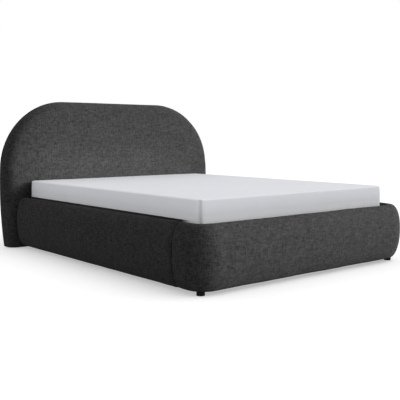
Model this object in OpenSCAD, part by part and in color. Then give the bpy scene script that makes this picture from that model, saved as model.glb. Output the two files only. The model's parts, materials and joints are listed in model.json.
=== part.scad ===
// Upholstered double bed with an arched headboard, rounded bolster rails and a loose mattress.
// Timber boards and a softwood headboard frame carry foam and a stapled cover.
// The front is at -Y, the headboard at +Y, and the floor is the plane z = 0.
// The origin is on the floor, under the middle of the whole bed.

/* [Mattress] */
// Width of the mattress
mattress_w = 1600; // [1300:10:1800]
// Length of the mattress
mattress_l = 2000; // [1800:10:2200]
// Thickness of the mattress
mattress_t = 200; // [150:5:280]
// Radius of the mattress corners seen from above
mattress_corner_r = 45; // [35:1:90]
// Radius of the soft top and bottom edges
mattress_edge_r = 10; // [8:1:20]
// Thickness of the knitted mattress cover
ticking_t = 3; // [2:0.5:4]

/* [Bolster rails and footboard] */
// Thickness of the padded rails and of the footboard
bolster_t = 118; // [112:1:150]
// How far the crest of a bolster lies from its outer face
outer_round = 70; // [60:1:75]
// Height of the padded rails and of the footboard
bolster_h = 362; // [345:1:400]
// Gap from the floor to the underside of the rails
floor_gap = 21; // [16:1:40]
// Gap between the mattress and the rails
mattress_gap = 4; // [3:1:15]
// Gap between the mattress and the footboard, where the bedding is tucked in
foot_gap = 20; // [10:1:30]
// How far the footboard returns along each side
foot_return = 127; // [120:1:150]
// Inside radius of the footboard corners
foot_inner_r = 42; // [36:1:50]
// Depth of the soft rounding at the seams between the bolsters
seam_depth = 27; // [20:1:36]
// Length of the soft rounding at the seams between the bolsters
seam_run = 48; // [30:1:55]
// Corner radius of the bolster ends seen from the side
end_corner_r = 30; // [20:1:60]
// Thickness of the boards inside the rails and the footboard
board_t = 25; // [18:1:30]

/* [Headboard] */
// Height of the headboard
head_h = 1100; // [1000:1:1250]
// Thickness of the headboard
head_t = 125; // [118:1:150]
// Width of the soft edge of the headboard seen from the front
head_soft_w = 110; // [90:1:130]
// Exponent of the soft edge of the headboard, where 2 is an ellipse
head_exponent = 3; // [2.5:0.1:3.5]
// How far each side of the headboard passes the rails
head_overhang = 57; // [45:1:80]
// Radius of the two upper corners
head_corner_r = 531; // [480:1:600]
// Radius of the long bowed sides
head_side_r = 3480; // [2800:10:4200]
// Height at which the headboard is widest
head_waist_z = 404; // [380:1:430]
// How far the padding swells out above the mattress
head_crown = 8; // [2:1:9]
// Gap from the mattress to the flat lower face of the headboard
head_gap = 10; // [10:1:20]
// Height of the glides under the headboard
glide_h = 5; // [3:1:8]

/* [Covers] */
// Thickness of the woven cover with its backing
cover_t = 2.5; // [1.5:0.1:3]
// Exponent of the rounded padding, where 2 is an ellipse
soft_exponent = 2.2; // [2:0.1:2.8]

/* [Slatted base] */
// Height of the slat crests
base_h = 301; // [290:1:325]
// Number of slats in each bank
slat_count = 15; // [10:1:17]
// Width of a slat
slat_w = 68; // [50:1:70]
// Thickness of a slat
slat_t = 8; // [6:1:10]
// Rise of a slat from its ends to its crest
slat_bow = 12; // [6:1:16]
// Width of the ledger that carries the outer slat ends
ledger_w = 30; // [25:1:40]
// Height of the ledger
ledger_h = 40; // [30:1:45]
// Width of the steel centre rail
centre_rail_w = 40; // [36:1:50]
// Height of the steel centre rail
centre_rail_h = 30; // [25:1:40]
// Wall of the steel centre rail
centre_rail_wall = 2; // [1.5:0.5:3]

/* [Legs and feet] */
// Diameter of the two front feet
foot_d = 46; // [40:1:55]
// Distance of the front feet from the front face of the footboard
foot_front_inset = 105; // [103:1:108]
// Distance of the front feet from the side faces of the footboard
foot_side_inset = 102; // [100:1:105]
// Diameter of the centre legs
leg_d = 38; // [32:1:42]
// Wall of the centre legs
leg_wall = 1.5; // [1:0.5:2]
// Distance of each centre leg from the middle of the mattress
leg_spread = 450; // [300:10:600]
// Diameter of the threaded stem of a levelling foot
stem_d = 10; // [8:1:12]
// Diameter of the pad of a levelling foot
pad_d = 45; // [40:1:55]
// Travel of a levelling foot
level_travel = 15; // [5:1:18]

/* [Brackets and fasteners] */
// Thickness of the steel corner brackets
bracket_t = 4; // [3:0.5:6]
// Diameter of the bracket bolts
bolt_d = 8; // [6:1:8]
// Diameter of the wood screws
screw_d = 5; // [4:0.5:6]

/* [Hidden] */

// Colours
charcoal = [0.17, 0.17, 0.18];
lining_black = [0.08, 0.08, 0.08];
foam_cream = [0.93, 0.90, 0.78];
softwood = [0.80, 0.66, 0.46];
plywood = [0.72, 0.57, 0.38];
beech = [0.86, 0.73, 0.55];
ticking_white = [0.85, 0.86, 0.90];
black_plastic = [0.05, 0.05, 0.05];
black_steel = [0.12, 0.12, 0.13];
zinc = [0.70, 0.71, 0.72];

// Overrun of a cut past the face that it opens
over = 1;
// Clearance between flat faces that lie on different bodies
rest_gap = 0.3;
// Clearance where a bracket or a lining lies in a corner or a mouth
fit = 0.4;
// Clearance between a foam and the inside of its cover
skin_gap = 0.3;
// Radial clearance of a turning or sliding shaft
run_fit = 0.05;
// Facets of a round piece
round_fn = 32;

// Main planes: the origin lies in the middle of the whole length
mattress_y = (foot_gap + bolster_t - head_gap - head_t) / 2;
rail_in_x = mattress_w / 2 + mattress_gap;
foot_in_y = mattress_y - mattress_l / 2 - foot_gap;
head_front_y = mattress_y + mattress_l / 2 + head_gap;
head_back_y = head_front_y + head_t;
seam_y = foot_in_y + foot_return;
bolster_top = floor_gap + bolster_h;

// Section of a bolster
crest_u = bolster_t - outer_round;
widest_share = 0.52;
widest_z = floor_gap + bolster_h * widest_share;
shoulder_z = base_h + slat_t;
inner_edge_r = 14;
inner_end = 10;
last_angle = 82;
outer_steps = 6;
inner_angles = [30, 60];
end_angles = [0, 30, 60, 90];
corner_share = 0.45;
mouth_end = 45;
mouth_rise = 60;
mouth_drop = 20;
mouth_low = floor_gap + mouth_rise;
mouth_high = base_h - mouth_drop;
mouth_r = 6;
lining_inset = 3;
head_end_depth = 54;
head_end_run = 58;
corner_steps = 6;
corner_x = rail_in_x - foot_inner_r;
corner_y = foot_in_y + foot_inner_r;

// Boards, posts and blocks
board_rise = 30;
board_drop = 13;
board_low = floor_gap + board_rise;
board_high = shoulder_z - board_drop;
board_end = 36;
post_w = 45;
post_front = 40;
post_back = 36;
spigot_d = 22;
block_w = 60;
block_past = 14;
block_rise = 18;
block_drop = 26;

// Section and outline of the headboard
head_half = rail_in_x + bolster_t + head_overhang;
head_back_r = 8;
head_soft_d = head_t - head_back_r;
head_corner_z = head_h - head_corner_r;
head_side_x = head_half - head_side_r;
head_link = head_side_r - head_corner_r;
head_join_angle = asin((head_corner_z - head_waist_z) / head_link);
head_corner_x = head_side_x + head_link * cos(head_join_angle);
head_side_steps = 4;
head_corner_steps = 8;
head_soft_steps = 7;
head_mouth = 60;
head_pocket = 40;
head_ring_shares = [0.65, 1.3];
head_crown_shares = [0.7, 1];
crown_gap = 40;
crown_run = 180;
crown_start_z = base_h + mattress_t + crown_gap;
crown_full_z = crown_start_z + crown_run;
panel_t = 12;
back_panel_t = 4;
back_cloth_t = 1.5;
frame_t = 70;
frame_w = 70;
back_panel_y = head_back_y - cover_t - back_panel_t;
frame_y = back_panel_y - frame_t;
front_panel_y = frame_y - panel_t;
head_bottom = glide_h;
post_inset = 100;
post_rise = 345;
post_x = mattress_w / 2 - post_inset;
head_post_top = head_corner_z + post_rise;
glide_d = 40;

// Slats, caps and ledgers
cap_wall = 3;
cap_base = 4;
cap_depth = 26;
cap_bite = 20;
cap_fit = 0.2;
slat_steps = 6;
ledger_top = base_h - slat_bow - slat_t - cap_base;
block_z0 = floor_gap + block_rise;
block_z1 = ledger_top - block_drop;
slat_end = 75;
slat_first = mattress_y - mattress_l / 2 + slat_end;
slat_last = mattress_y + mattress_l / 2 - slat_end;
slat_pitch = (slat_last - slat_first) / (slat_count - 1);
slat_out_x = rail_in_x - ledger_w + cap_bite;
slat_in_x = cap_wall / 2 + cap_fit;
ledger_end = 8;
ledger_screw_count = 5;
ledger_screw_end = 150;
screw_head_share = 1.9;
screw_head_rise = 0.55;
screw_head_d = screw_d * screw_head_share;
screw_head_h = screw_d * screw_head_rise;
screw_grip = 18;

// Hangers and centre legs
hanger_t = 3;
hanger_l = 35;
hanger_drop = 50;
hanger_screw_z = 18;
hanger_screw_x = 12;
rail_end_gap = 1;
leg_plate_l = 90;
leg_plate_w = 40;
leg_plate_t = 3;
leg_screw_x = 33;
leg_screw_d = 6;
leg_screw_head_d = 11;
leg_screw_head_h = 4;
pad_h = 12;
pad_socket_h = 7;
pad_lip = 1;
pad_neck_d = 20;
collar_gap = 2;
collar_h = 6;
collar_d = 17;
leg_low_gap = 11;
leg_foot_z = pad_h + collar_gap + collar_h + level_travel + leg_low_gap;
insert_flange_h = 4;
insert_h = 30;
stem_past = 8;
stem_top_z = leg_foot_z + insert_h + stem_past;

// Brackets, bolts and inserts
bracket_rise = 40;
bracket_gap = 24;
bracket_low = floor_gap + bracket_rise;
bracket_h = ledger_top - ledger_h - bracket_gap - bracket_low;
bracket_leg = 100;
foot_bracket_reach = 110;
foot_bracket_run = foot_return + foot_bracket_reach;
bolt_end = 38;
bolt_low = bolt_end;
bolt_high = bracket_h - bolt_end;
head_bolt_in = 62;
head_bolt_x = 50;
post_bolt_inset = 60;
board_bolt_inset = 72;
post_bolt_y = seam_y - post_bolt_inset;
board_bolt_y = seam_y + board_bolt_inset;
foot_bolt_x = 70;
bolt_head_h = 5.3;
bolt_head_d = 15;
bolt_l = 28;
washer_d = 17;
washer_t = 1.6;
insert_d = 12;
insert_l = 20;
hole_fit = 0.3;
foot_screw_d = 8;
foot_screw_l = 50;
foot_screw_head_d = 15;
foot_screw_head_h = 5;
foot_recess_d = 19;
foot_recess_h = 9;
foot_x = rail_in_x + bolster_t - foot_side_inset;
foot_y = foot_in_y - bolster_t + foot_front_inset;

// Superellipse terms: how far along and how far up at an angle
function along(a, n) = pow(max(cos(a), 0), 2 / n);
function rise(a, n) = pow(max(sin(a), 0), 2 / n);
function drop(share, n) = 1 - pow(1 - pow(min(max(share, 0), 1), n), 1 / n);
function flat_list(lists) = [for (l = lists) each l];
function reversed(list) = [for (i = [len(list) - 1 : -1 : 0]) list[i]];
function mirrored(line) = [for (p = line) [-p[0], p[1]]];

// Faces between two loops of points, across one loop, and turned over
function strip(a, b, n) = [
    for (i = [0 : n - 1])
        each [[a + i, b + (i + 1) % n, a + (i + 1) % n], [a + i, b + i, b + (i + 1) % n]]
];
function ladder(a, n) = [
    for (i = [0 : n / 2 - 2])
        each [[a + i, a + n - 2 - i, a + i + 1], [a + i, a + n - 1 - i, a + n - 2 - i]]
];
function turned(faces) = [for (f = faces) [f[0], f[2], f[1]]];
function strips(first, count, n) = [
    for (k = [0 : count - 2])
        each strip(first + k * n, first + (k + 1) * n, n)
];

// A closed solid through a stack of loops
module stack(loops) {
    n = len(loops[0]);
    polyhedron(
        points = flat_list(loops),
        faces = concat(
            strips(0, len(loops), n),
            ladder((len(loops) - 1) * n, n),
            turned(ladder(0, n))
        )
    );
}

// A skin with a mouth: outer loops from the rim to the closed end, and inner loops the same way
module cup(outer, inner) {
    n = len(outer[0]);
    first_in = len(outer) * n;
    polyhedron(
        points = concat(flat_list(outer), flat_list(inner)),
        faces = concat(
            strips(0, len(outer), n),
            ladder(first_in - n, n),
            turned(strips(first_in, len(inner), n)),
            turned(ladder(first_in + (len(inner) - 1) * n, n)),
            turned(strip(0, first_in, n))
        )
    );
}

module round_bar(d, h) {
    cylinder(d = d, h = h, $fn = round_fn);
}

module both_sides() {
    children();
    mirror([1, 0, 0]) children();
}

// Bolster sections: [offset from the inner face, low z, high z, inset of a seam end, inset of the head end]
function head_curve(u) =
    let (x = rail_in_x + u, past = x - (head_half - head_soft_w))
    past > 0 ? head_soft_d * drop(past / head_soft_w, head_exponent) : 0;
function seam_inset(u, t) =
    t + (seam_run - t) * drop((u - bolster_t + seam_depth) / (seam_depth - t), 2);
function head_inset(u, t) =
    t + (head_end_run - t) * drop((u - bolster_t + head_end_depth) / (head_end_depth - t), 2) - head_curve(u);
function outer_sections(t) = [
    for (k = [0 : outer_steps])
        let (
            a = last_angle * k / outer_steps,
            u = crest_u + (outer_round - t) * rise(a, soft_exponent) / rise(last_angle, soft_exponent)
        )
        [
            u,
            widest_z - (widest_z - floor_gap - t) * along(a, 2),
            widest_z + (bolster_top - t - widest_z) * along(a, soft_exponent),
            seam_inset(u, t),
            head_inset(u, t)
        ]
];
function inner_sections(t) = concat(
    [[t, floor_gap + inner_edge_r, shoulder_z, inner_end, inner_end]],
    [
        for (a = inner_angles)
            [
                crest_u - (crest_u - t) * along(a, soft_exponent),
                floor_gap + t,
                shoulder_z + (bolster_top - t - shoulder_z) * rise(a, soft_exponent),
                t,
                t
            ]
    ]
);
function body_sections(t) = concat(inner_sections(t), outer_sections(t));
function cover_sections(t) = concat([[t, mouth_low, mouth_high, mouth_end, mouth_end]], body_sections(t));
function end_radius(s, room) = min(end_corner_r, (s[2] - s[1]) * corner_share, room);
function mouth_radius(s, room) = s[2] == mouth_high ? mouth_r : end_radius(s, room);

// Loop of a straight rail on the +X side, over the top towards the foot and back underneath
function rail_loop(s) =
    let (
        r = mouth_radius(s, bolster_h),
        x = rail_in_x + s[0],
        y0 = seam_y + rest_gap / 2 + s[3],
        y1 = head_front_y - rest_gap - s[4],
        top = concat(
            [for (a = end_angles) [y1 - r * (1 - cos(a)), r * (1 - sin(a))]],
            [for (a = reversed(end_angles)) [y0 + r * (1 - cos(a)), r * (1 - sin(a))]]
        )
    )
    concat(
        [for (p = top) [x, p[0], s[2] - p[1]]],
        [for (p = reversed(top)) [x, p[0], s[1] + p[1]]]
    );

// Plan line of half the footboard at one offset: [x, y, drop of the height at the end corner]
function foot_half(s) =
    let (
        y0 = seam_y - rest_gap / 2 - s[3],
        r = mouth_radius(s, y0 - corner_y - over)
    )
    concat(
        [for (a = end_angles) [rail_in_x + s[0], y0 - r * (1 - cos(a)), r * (1 - sin(a))]],
        [
            for (i = [0 : corner_steps])
                let (a = 90 * i / corner_steps)
                [corner_x + (foot_inner_r + s[0]) * cos(a), corner_y - (foot_inner_r + s[0]) * sin(a), 0]
        ]
    );
function upright(line, s) = concat(
    [for (p = line) [p[0], p[1], s[2] - p[2]]],
    [for (p = reversed(line)) [p[0], p[1], s[1] + p[2]]]
);
function foot_loop(s) =
    let (half = foot_half(s))
    upright(concat(half, [for (p = reversed(half)) [-p[0], p[1], p[2]]]), s);
function foot_corner_loop(s) = upright(foot_half(s), s);
function foot_front_loop(s) = upright(
    [[corner_x, foot_in_y - s[0], 0], [-corner_x, foot_in_y - s[0], 0]],
    s
);

// Loop of the headboard at an inset from its outline, with its swell towards the front
function head_loop(d, y, lift, swell) =
    let (
        side = head_side_r - d,
        corner = head_corner_r - d,
        low = asin((head_bottom + lift - head_waist_z) / side),
        right = concat(
            [
                for (i = [0 : head_side_steps])
                    let (a = low + (head_join_angle - low) * i / (head_side_steps + 1))
                    [head_side_x + side * cos(a), head_waist_z + side * sin(a)]
            ],
            [
                for (i = [0 : head_corner_steps])
                    let (a = head_join_angle + (90 - head_join_angle) * i / head_corner_steps)
                    [head_corner_x + corner * cos(a), head_corner_z + corner * sin(a)]
            ]
        ),
        half = [for (p = right) [p[0], y - swell * swell_at(p[1]), p[1]]]
    )
    concat(half, [for (p = reversed(half)) [-p[0], p[1], p[2]]]);
function swell_at(z) =
    let (s = min(max((z - crown_start_z) / (crown_full_z - crown_start_z), 0), 1))
    s * s * (3 - 2 * s);
function head_loops(t) = concat(
    [head_loop(head_back_r, head_back_y - t, t, 0)],
    [
        for (k = [0 : head_soft_steps])
            let (a = 90 * k / head_soft_steps)
            head_loop(
                t + (head_soft_w - t) * (1 - along(a, head_exponent)),
                head_front_y + t + (head_soft_d - t) * (1 - rise(a, head_exponent)),
                t,
                0
            )
    ],
    [
        for (k = [0 : len(head_ring_shares) - 1])
            head_loop(
                head_soft_w * (1 + head_ring_shares[k]),
                head_front_y + t,
                head_soft_w * head_ring_shares[k],
                head_crown * head_crown_shares[k]
            )
    ]
);
function plan_of(loop) = [for (p = loop) [p[0], p[2]]];

// A flat arched sheet of the headboard, from its inset, its front face and its lift off the floor
module arched_sheet(d, y, thickness, lift = cover_t) {
    translate([0, y + thickness, 0])
        rotate([90, 0, 0])
            linear_extrude(thickness)
                polygon(plan_of(head_loop(d, y, lift, 0)));
}

// Where the bracket bolts stand: [x, y, z, turn of the bolt's axis]
function bolt_pairs(x, y, turn) = [for (z = [bolt_low, bolt_high]) [x, y, bracket_low + z, turn]];
head_bolts = concat(
    bolt_pairs(rail_in_x, head_front_y - head_bolt_in, 0),
    bolt_pairs(rail_in_x - head_bolt_x, head_front_y, 90)
);
foot_bolts = concat(
    bolt_pairs(rail_in_x, post_bolt_y, 0),
    bolt_pairs(rail_in_x, board_bolt_y, 0),
    bolt_pairs(rail_in_x - foot_bolt_x, foot_in_y, -90)
);

// Children turned so that +Z runs into the wall at each bolt, with z = 0 on the wall
module at_bolts(sites) {
    for (s = sites)
        translate([s[0], s[1], s[2]])
            rotate([0, 0, s[3]])
                rotate([0, 90, 0])
                    children();
}

module bolt_holes(sites) {
    at_bolts(sites)
        translate([0, 0, -cover_t])
            round_bar(bolt_d + 2 * hole_fit, 3 * cover_t);
}

module insert_holes(sites) {
    at_bolts(sites)
        translate([0, 0, -over])
            round_bar(insert_d, cover_t + insert_l + over);
}

// Mattress

function mattress_loop(d, z) =
    let (
        r = mattress_corner_r - min(d, mattress_corner_r * corner_share),
        hx = mattress_w / 2 - d - r,
        hy = mattress_l / 2 - d - r,
        quarter = [for (i = [0 : 4]) let (a = 90 * i / 4) [hx + r * cos(a), hy + r * sin(a)]]
    )
    concat(
        [for (p = quarter) [p[0], mattress_y + p[1], z]],
        [for (p = reversed(quarter)) [-p[0], mattress_y + p[1], z]],
        [for (p = quarter) [-p[0], mattress_y - p[1], z]],
        [for (p = reversed(quarter)) [p[0], mattress_y - p[1], z]]
    );
mattress_low = base_h + rest_gap;
mattress_mouth = 46;
edge_angles = [0, 30, 60, 90];
mattress_swell = 4;
function mattress_loops(t) = concat(
    [
        for (a = edge_angles)
            mattress_loop(
                t + mattress_swell + (mattress_edge_r - t) * (1 - sin(a)),
                mattress_low + t + (mattress_edge_r - t) * (1 - cos(a))
            )
    ],
    [mattress_loop(t, mattress_low + mattress_t / 2)],
    [
        for (a = reversed(edge_angles))
            mattress_loop(
                t + mattress_swell + (mattress_edge_r - t) * (1 - sin(a)),
                mattress_low + mattress_t - t - (mattress_edge_r - t) * (1 - cos(a))
            )
    ]
);
function mattress_mouth_loop(t) = [mattress_loop(mattress_mouth, mattress_low + t)];

module mattress_core() {
    color(foam_cream)
        stack(mattress_loops(ticking_t));
}

module mattress_cover() {
    color(ticking_white)
        cup(
            concat(mattress_mouth_loop(0), mattress_loops(0)),
            concat(mattress_mouth_loop(ticking_t), mattress_loops(ticking_t))
        );
}

module mattress_base_panel() {
    color(ticking_white)
        translate([0, 0, mattress_low])
            linear_extrude(ticking_t)
                polygon([for (p = mattress_loop(mattress_mouth + fit, 0)) [p[0], p[1]]]);
}

// Headboard

module headboard_cover() {
    color(charcoal)
        difference() {
            cup(
                concat([head_loop(head_mouth, head_back_y, head_mouth, 0)], head_loops(0)),
                concat([head_loop(head_mouth, head_back_y - cover_t, head_mouth, 0)], head_loops(cover_t))
            );
            both_sides() bolt_holes([head_bolts[2], head_bolts[3]]);
            hanger_screw_holes(head_front_y, 90);
        }
}

module headboard_foam() {
    color(foam_cream)
        difference() {
            stack(head_loops(cover_t));
            for (z = [0, -over])
                translate([0, 0, z])
                    arched_sheet(head_pocket, front_panel_y, head_back_y - front_panel_y);
            for (x = [-block_x - block_w / 2, -block_w / 2, block_x - block_w / 2])
                translate([x, head_front_y, block_z0])
                    cube([block_w, front_panel_y - head_front_y + over, block_z1 - block_z0]);
        }
}

module headboard_front_panel() {
    color(plywood)
        arched_sheet(head_pocket, front_panel_y, panel_t);
}

module headboard_back_panel() {
    color(plywood)
        arched_sheet(head_pocket, back_panel_y, back_panel_t);
}

module headboard_back_cloth() {
    color(lining_black)
        arched_sheet(head_mouth + fit, head_back_y - cover_t, back_cloth_t, head_mouth + fit);
}

module head_post() {
    color(softwood)
        translate([post_x, frame_y, head_bottom + cover_t])
            cube([frame_w, frame_t, head_post_top - head_bottom - cover_t]);
}

module headboard_left_post() {
    mirror([1, 0, 0]) head_post();
}

module headboard_right_post() {
    head_post();
}

module head_cross_rail(z) {
    color(softwood)
        translate([-post_x, frame_y, z])
            cube([2 * post_x, frame_t, frame_w]);
}

module headboard_top_rail() {
    head_cross_rail(head_post_top - frame_w);
}

module headboard_middle_rail() {
    head_cross_rail((head_post_top + head_bottom) / 2);
}

module headboard_bottom_rail() {
    head_cross_rail(head_bottom + cover_t);
}

block_x = rail_in_x - head_bolt_x + block_past - block_w / 2;

module head_block(x, sites) {
    y0 = head_front_y + cover_t + skin_gap + fit;
    color(softwood)
        difference() {
            translate([x - block_w / 2, y0, block_z0])
                cube([block_w, front_panel_y - y0, block_z1 - block_z0]);
            insert_holes(sites);
        }
}

module headboard_left_block() {
    mirror([1, 0, 0]) head_block(block_x, [head_bolts[2], head_bolts[3]]);
}

module headboard_right_block() {
    head_block(block_x, [head_bolts[2], head_bolts[3]]);
}

module headboard_centre_block() {
    difference() {
        head_block(0, []);
        hanger_screw_holes(head_front_y, 90);
    }
}

module headboard_glides() {
    color(black_plastic)
        for (x = [-post_x - frame_w / 2, 0, post_x + frame_w / 2])
            translate([x, frame_y + frame_t / 2, 0])
                round_bar(glide_d, glide_h);
}

// Side rails

module rail_cover() {
    color(charcoal)
        cup(
            [for (s = cover_sections(0)) rail_loop(s)],
            [for (s = cover_sections(cover_t)) rail_loop(s)]
        );
}

module board_blank(grow) {
    y0 = seam_y + board_end;
    y1 = head_front_y - board_end;
    translate([rail_in_x + cover_t - grow, y0, board_low])
        cube([board_t + grow, y1 - y0, board_high - board_low]);
}

module rail_foam() {
    color(foam_cream)
        difference() {
            stack([for (s = body_sections(cover_t + skin_gap)) rail_loop(s)]);
            board_blank(over);
        }
}

module rail_board() {
    color(plywood)
        difference() {
            board_blank(0);
            insert_holes([head_bolts[0], head_bolts[1], foot_bolts[2], foot_bolts[3]]);
            ledger_screw_holes();
        }
}

module rail_lining() {
    y0 = seam_y + rest_gap / 2 + mouth_end + lining_inset;
    y1 = head_front_y - rest_gap - mouth_end - lining_inset;
    color(lining_black)
        difference() {
            translate([rail_in_x, y0, mouth_low + lining_inset])
                cube([cover_t, y1 - y0, mouth_high - mouth_low - 2 * lining_inset]);
            bolt_holes([head_bolts[0], head_bolts[1], foot_bolts[2], foot_bolts[3]]);
            ledger_screw_holes();
        }
}

module left_rail_cover() {
    mirror([1, 0, 0]) rail_cover();
}

module right_rail_cover() {
    rail_cover();
}

module left_rail_foam() {
    mirror([1, 0, 0]) rail_foam();
}

module right_rail_foam() {
    rail_foam();
}

module left_rail_board() {
    mirror([1, 0, 0]) rail_board();
}

module right_rail_board() {
    rail_board();
}

module left_rail_lining() {
    mirror([1, 0, 0]) rail_lining();
}

module right_rail_lining() {
    rail_lining();
}

// Ledgers and their screws

ledger_y0 = corner_y + ledger_end;
ledger_y1 = head_front_y - bracket_t - ledger_end;
ledger_screw_z = ledger_top - ledger_h / 2;
ledger_screw_pitch = (ledger_y1 - ledger_y0 - 2 * ledger_screw_end) / (ledger_screw_count - 1);
ledger_screw_ys = [
    for (i = [0 : ledger_screw_count - 1])
        ledger_y0 + ledger_screw_end + i * ledger_screw_pitch
];

module at_ledger_screws() {
    for (y = ledger_screw_ys)
        translate([rail_in_x - ledger_w, y, ledger_screw_z])
            rotate([0, 90, 0])
                children();
}

module ledger_screw_holes() {
    at_ledger_screws()
        translate([0, 0, -over])
            round_bar(screw_d + 2 * run_fit, over + ledger_w + cover_t + screw_grip);
}

module ledger() {
    color(softwood)
        difference() {
            translate([rail_in_x - ledger_w, ledger_y0, ledger_top - ledger_h])
                cube([ledger_w, ledger_y1 - ledger_y0, ledger_h]);
            ledger_screw_holes();
        }
}

module left_ledger() {
    mirror([1, 0, 0]) ledger();
}

module right_ledger() {
    ledger();
}

// Pan head wood screw, its head under z = 0 and its shank along +Z
module wood_screw(grip) {
    translate([0, 0, -screw_head_h])
        round_bar(screw_head_d, screw_head_h);
    translate([0, 0, -screw_head_h / 2])
        round_bar(screw_d, grip + screw_head_h / 2);
}

module ledger_screws() {
    color(zinc)
        both_sides()
            at_ledger_screws()
                wood_screw(ledger_w + cover_t + screw_grip - over);
}

// Footboard

module footboard_cover() {
    color(charcoal)
        difference() {
            cup(
                [for (s = cover_sections(0)) foot_loop(s)],
                [for (s = cover_sections(cover_t)) foot_loop(s)]
            );
            both_sides() foot_screw_hole();
        }
}

module foot_board_blank(grow) {
    translate([-rail_in_x - cover_t, foot_in_y - cover_t - board_t, board_low])
        cube([2 * (rail_in_x + cover_t), board_t + grow, board_high - board_low]);
}

// Corner post, with a spigot down to the screwed foot
module foot_post_blank(grow) {
    low = floor_gap + cover_t + rest_gap;
    translate([rail_in_x + cover_t - grow, foot_in_y - post_front, board_low])
        cube([post_w + grow, foot_return + post_front - post_back, board_high - board_low]);
    translate([foot_x, foot_y, low - grow])
        round_bar(spigot_d, board_low - low + grow + over);
}

module footboard_foam() {
    color(foam_cream)
        difference() {
            stack([for (s = body_sections(cover_t + skin_gap)) foot_front_loop(s)]);
            foot_board_blank(over);
        }
}

module corner_foam() {
    color(foam_cream)
        difference() {
            stack([for (s = body_sections(cover_t + skin_gap)) foot_corner_loop(s)]);
            foot_board_blank(over);
            foot_post_blank(over);
        }
}

module footboard_left_corner_foam() {
    mirror([1, 0, 0]) corner_foam();
}

module footboard_right_corner_foam() {
    corner_foam();
}

module footboard_board() {
    color(plywood)
        difference() {
            foot_board_blank(0);
            both_sides() insert_holes([foot_bolts[4], foot_bolts[5]]);
            hanger_screw_holes(foot_in_y, -90);
        }
}

module foot_post() {
    color(softwood)
        difference() {
            foot_post_blank(0);
            insert_holes([foot_bolts[0], foot_bolts[1]]);
            foot_screw_hole();
        }
}

module footboard_left_post() {
    mirror([1, 0, 0]) foot_post();
}

module footboard_right_post() {
    foot_post();
}

// Plan line along the inner face of the footboard and round its right corner, at one offset
function inner_line(u, x_end, y_end) = concat(
    [[rail_in_x + u, y_end]],
    [
        for (i = [0 : corner_steps])
            let (a = 90 * i / corner_steps)
            [corner_x + (foot_inner_r + u) * cos(a), corner_y - (foot_inner_r + u) * sin(a)]
    ],
    [[x_end, foot_in_y - u]]
);

// Plan of the strip that lies in the mouth of the footboard cover
module lining_plan() {
    y1 = seam_y - rest_gap / 2 - mouth_end - lining_inset;
    outside = inner_line(cover_t, corner_x - over, y1);
    inside = inner_line(0, corner_x - over, y1);
    polygon(concat(outside, reversed(mirrored(outside)), mirrored(inside), reversed(inside)));
}

module footboard_lining() {
    color(lining_black)
        difference() {
            translate([0, 0, mouth_low + lining_inset])
                linear_extrude(mouth_high - mouth_low - 2 * lining_inset)
                    lining_plan();
            both_sides() bolt_holes([foot_bolts[0], foot_bolts[1], foot_bolts[4], foot_bolts[5]]);
            hanger_screw_holes(foot_in_y, -90);
        }
}

// Front feet

module foot_screw_hole() {
    translate([foot_x, foot_y, 0])
        round_bar(foot_screw_d + 2 * run_fit, foot_recess_h + foot_screw_l + over);
}

module front_feet() {
    color(black_plastic)
        both_sides()
            difference() {
                translate([foot_x, foot_y, 0])
                    round_bar(foot_d, floor_gap);
                foot_screw_hole();
                translate([foot_x, foot_y, -over])
                    round_bar(foot_recess_d, foot_recess_h + over);
            }
}

module front_foot_screws() {
    color(zinc)
        both_sides()
            translate([foot_x, foot_y, foot_recess_h]) {
                translate([0, 0, -foot_screw_head_h])
                    round_bar(foot_screw_head_d, foot_screw_head_h);
                translate([0, 0, -foot_screw_head_h / 2])
                    round_bar(foot_screw_d, foot_screw_l + foot_screw_head_h / 2);
            }
}

// Corner brackets

module bracket_bores(sites) {
    at_bolts(sites)
        translate([0, 0, -bracket_t - fit - over])
            round_bar(bolt_d + 2 * hole_fit, bracket_t + fit + 2 * over);
}

module head_bracket() {
    x0 = rail_in_x - fit - bracket_leg;
    y0 = head_front_y - fit - bracket_leg;
    color(black_steel)
        difference() {
            translate([0, 0, bracket_low])
                linear_extrude(bracket_h)
                    difference() {
                        translate([x0, y0])
                            square(bracket_leg);
                        translate([x0 - over, y0 - over])
                            square(bracket_leg - bracket_t + over);
                    }
            bracket_bores(head_bolts);
        }
}

module head_left_bracket() {
    mirror([1, 0, 0]) head_bracket();
}

module head_right_bracket() {
    head_bracket();
}

module foot_bracket_plan() {
    x_end = rail_in_x - bracket_leg;
    y_end = foot_in_y + foot_bracket_run;
    polygon(concat(inner_line(-fit, x_end, y_end), reversed(inner_line(-fit - bracket_t, x_end, y_end))));
}

module foot_bracket() {
    color(black_steel)
        difference() {
            translate([0, 0, bracket_low])
                linear_extrude(bracket_h)
                    foot_bracket_plan();
            bracket_bores(foot_bolts);
        }
}

module foot_left_bracket() {
    mirror([1, 0, 0]) foot_bracket();
}

module foot_right_bracket() {
    foot_bracket();
}

// Bolts, washers and threaded inserts of the brackets

module bracket_bolts() {
    seat = fit + bracket_t + washer_t;
    color(zinc)
        both_sides()
            at_bolts(concat(head_bolts, foot_bolts)) {
                translate([0, 0, -seat - bolt_head_h])
                    cylinder(d = bolt_head_d, h = bolt_head_h, $fn = 6);
                translate([0, 0, -seat - bolt_head_h / 2])
                    round_bar(bolt_d, bolt_l + bolt_head_h / 2);
            }
}

module bracket_washers() {
    color(zinc)
        both_sides()
            at_bolts(concat(head_bolts, foot_bolts))
                translate([0, 0, -fit - bracket_t - washer_t])
                    difference() {
                        round_bar(washer_d, washer_t);
                        translate([0, 0, -over])
                            round_bar(bolt_d + 2 * hole_fit, washer_t + 2 * over);
                    }
}

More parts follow.
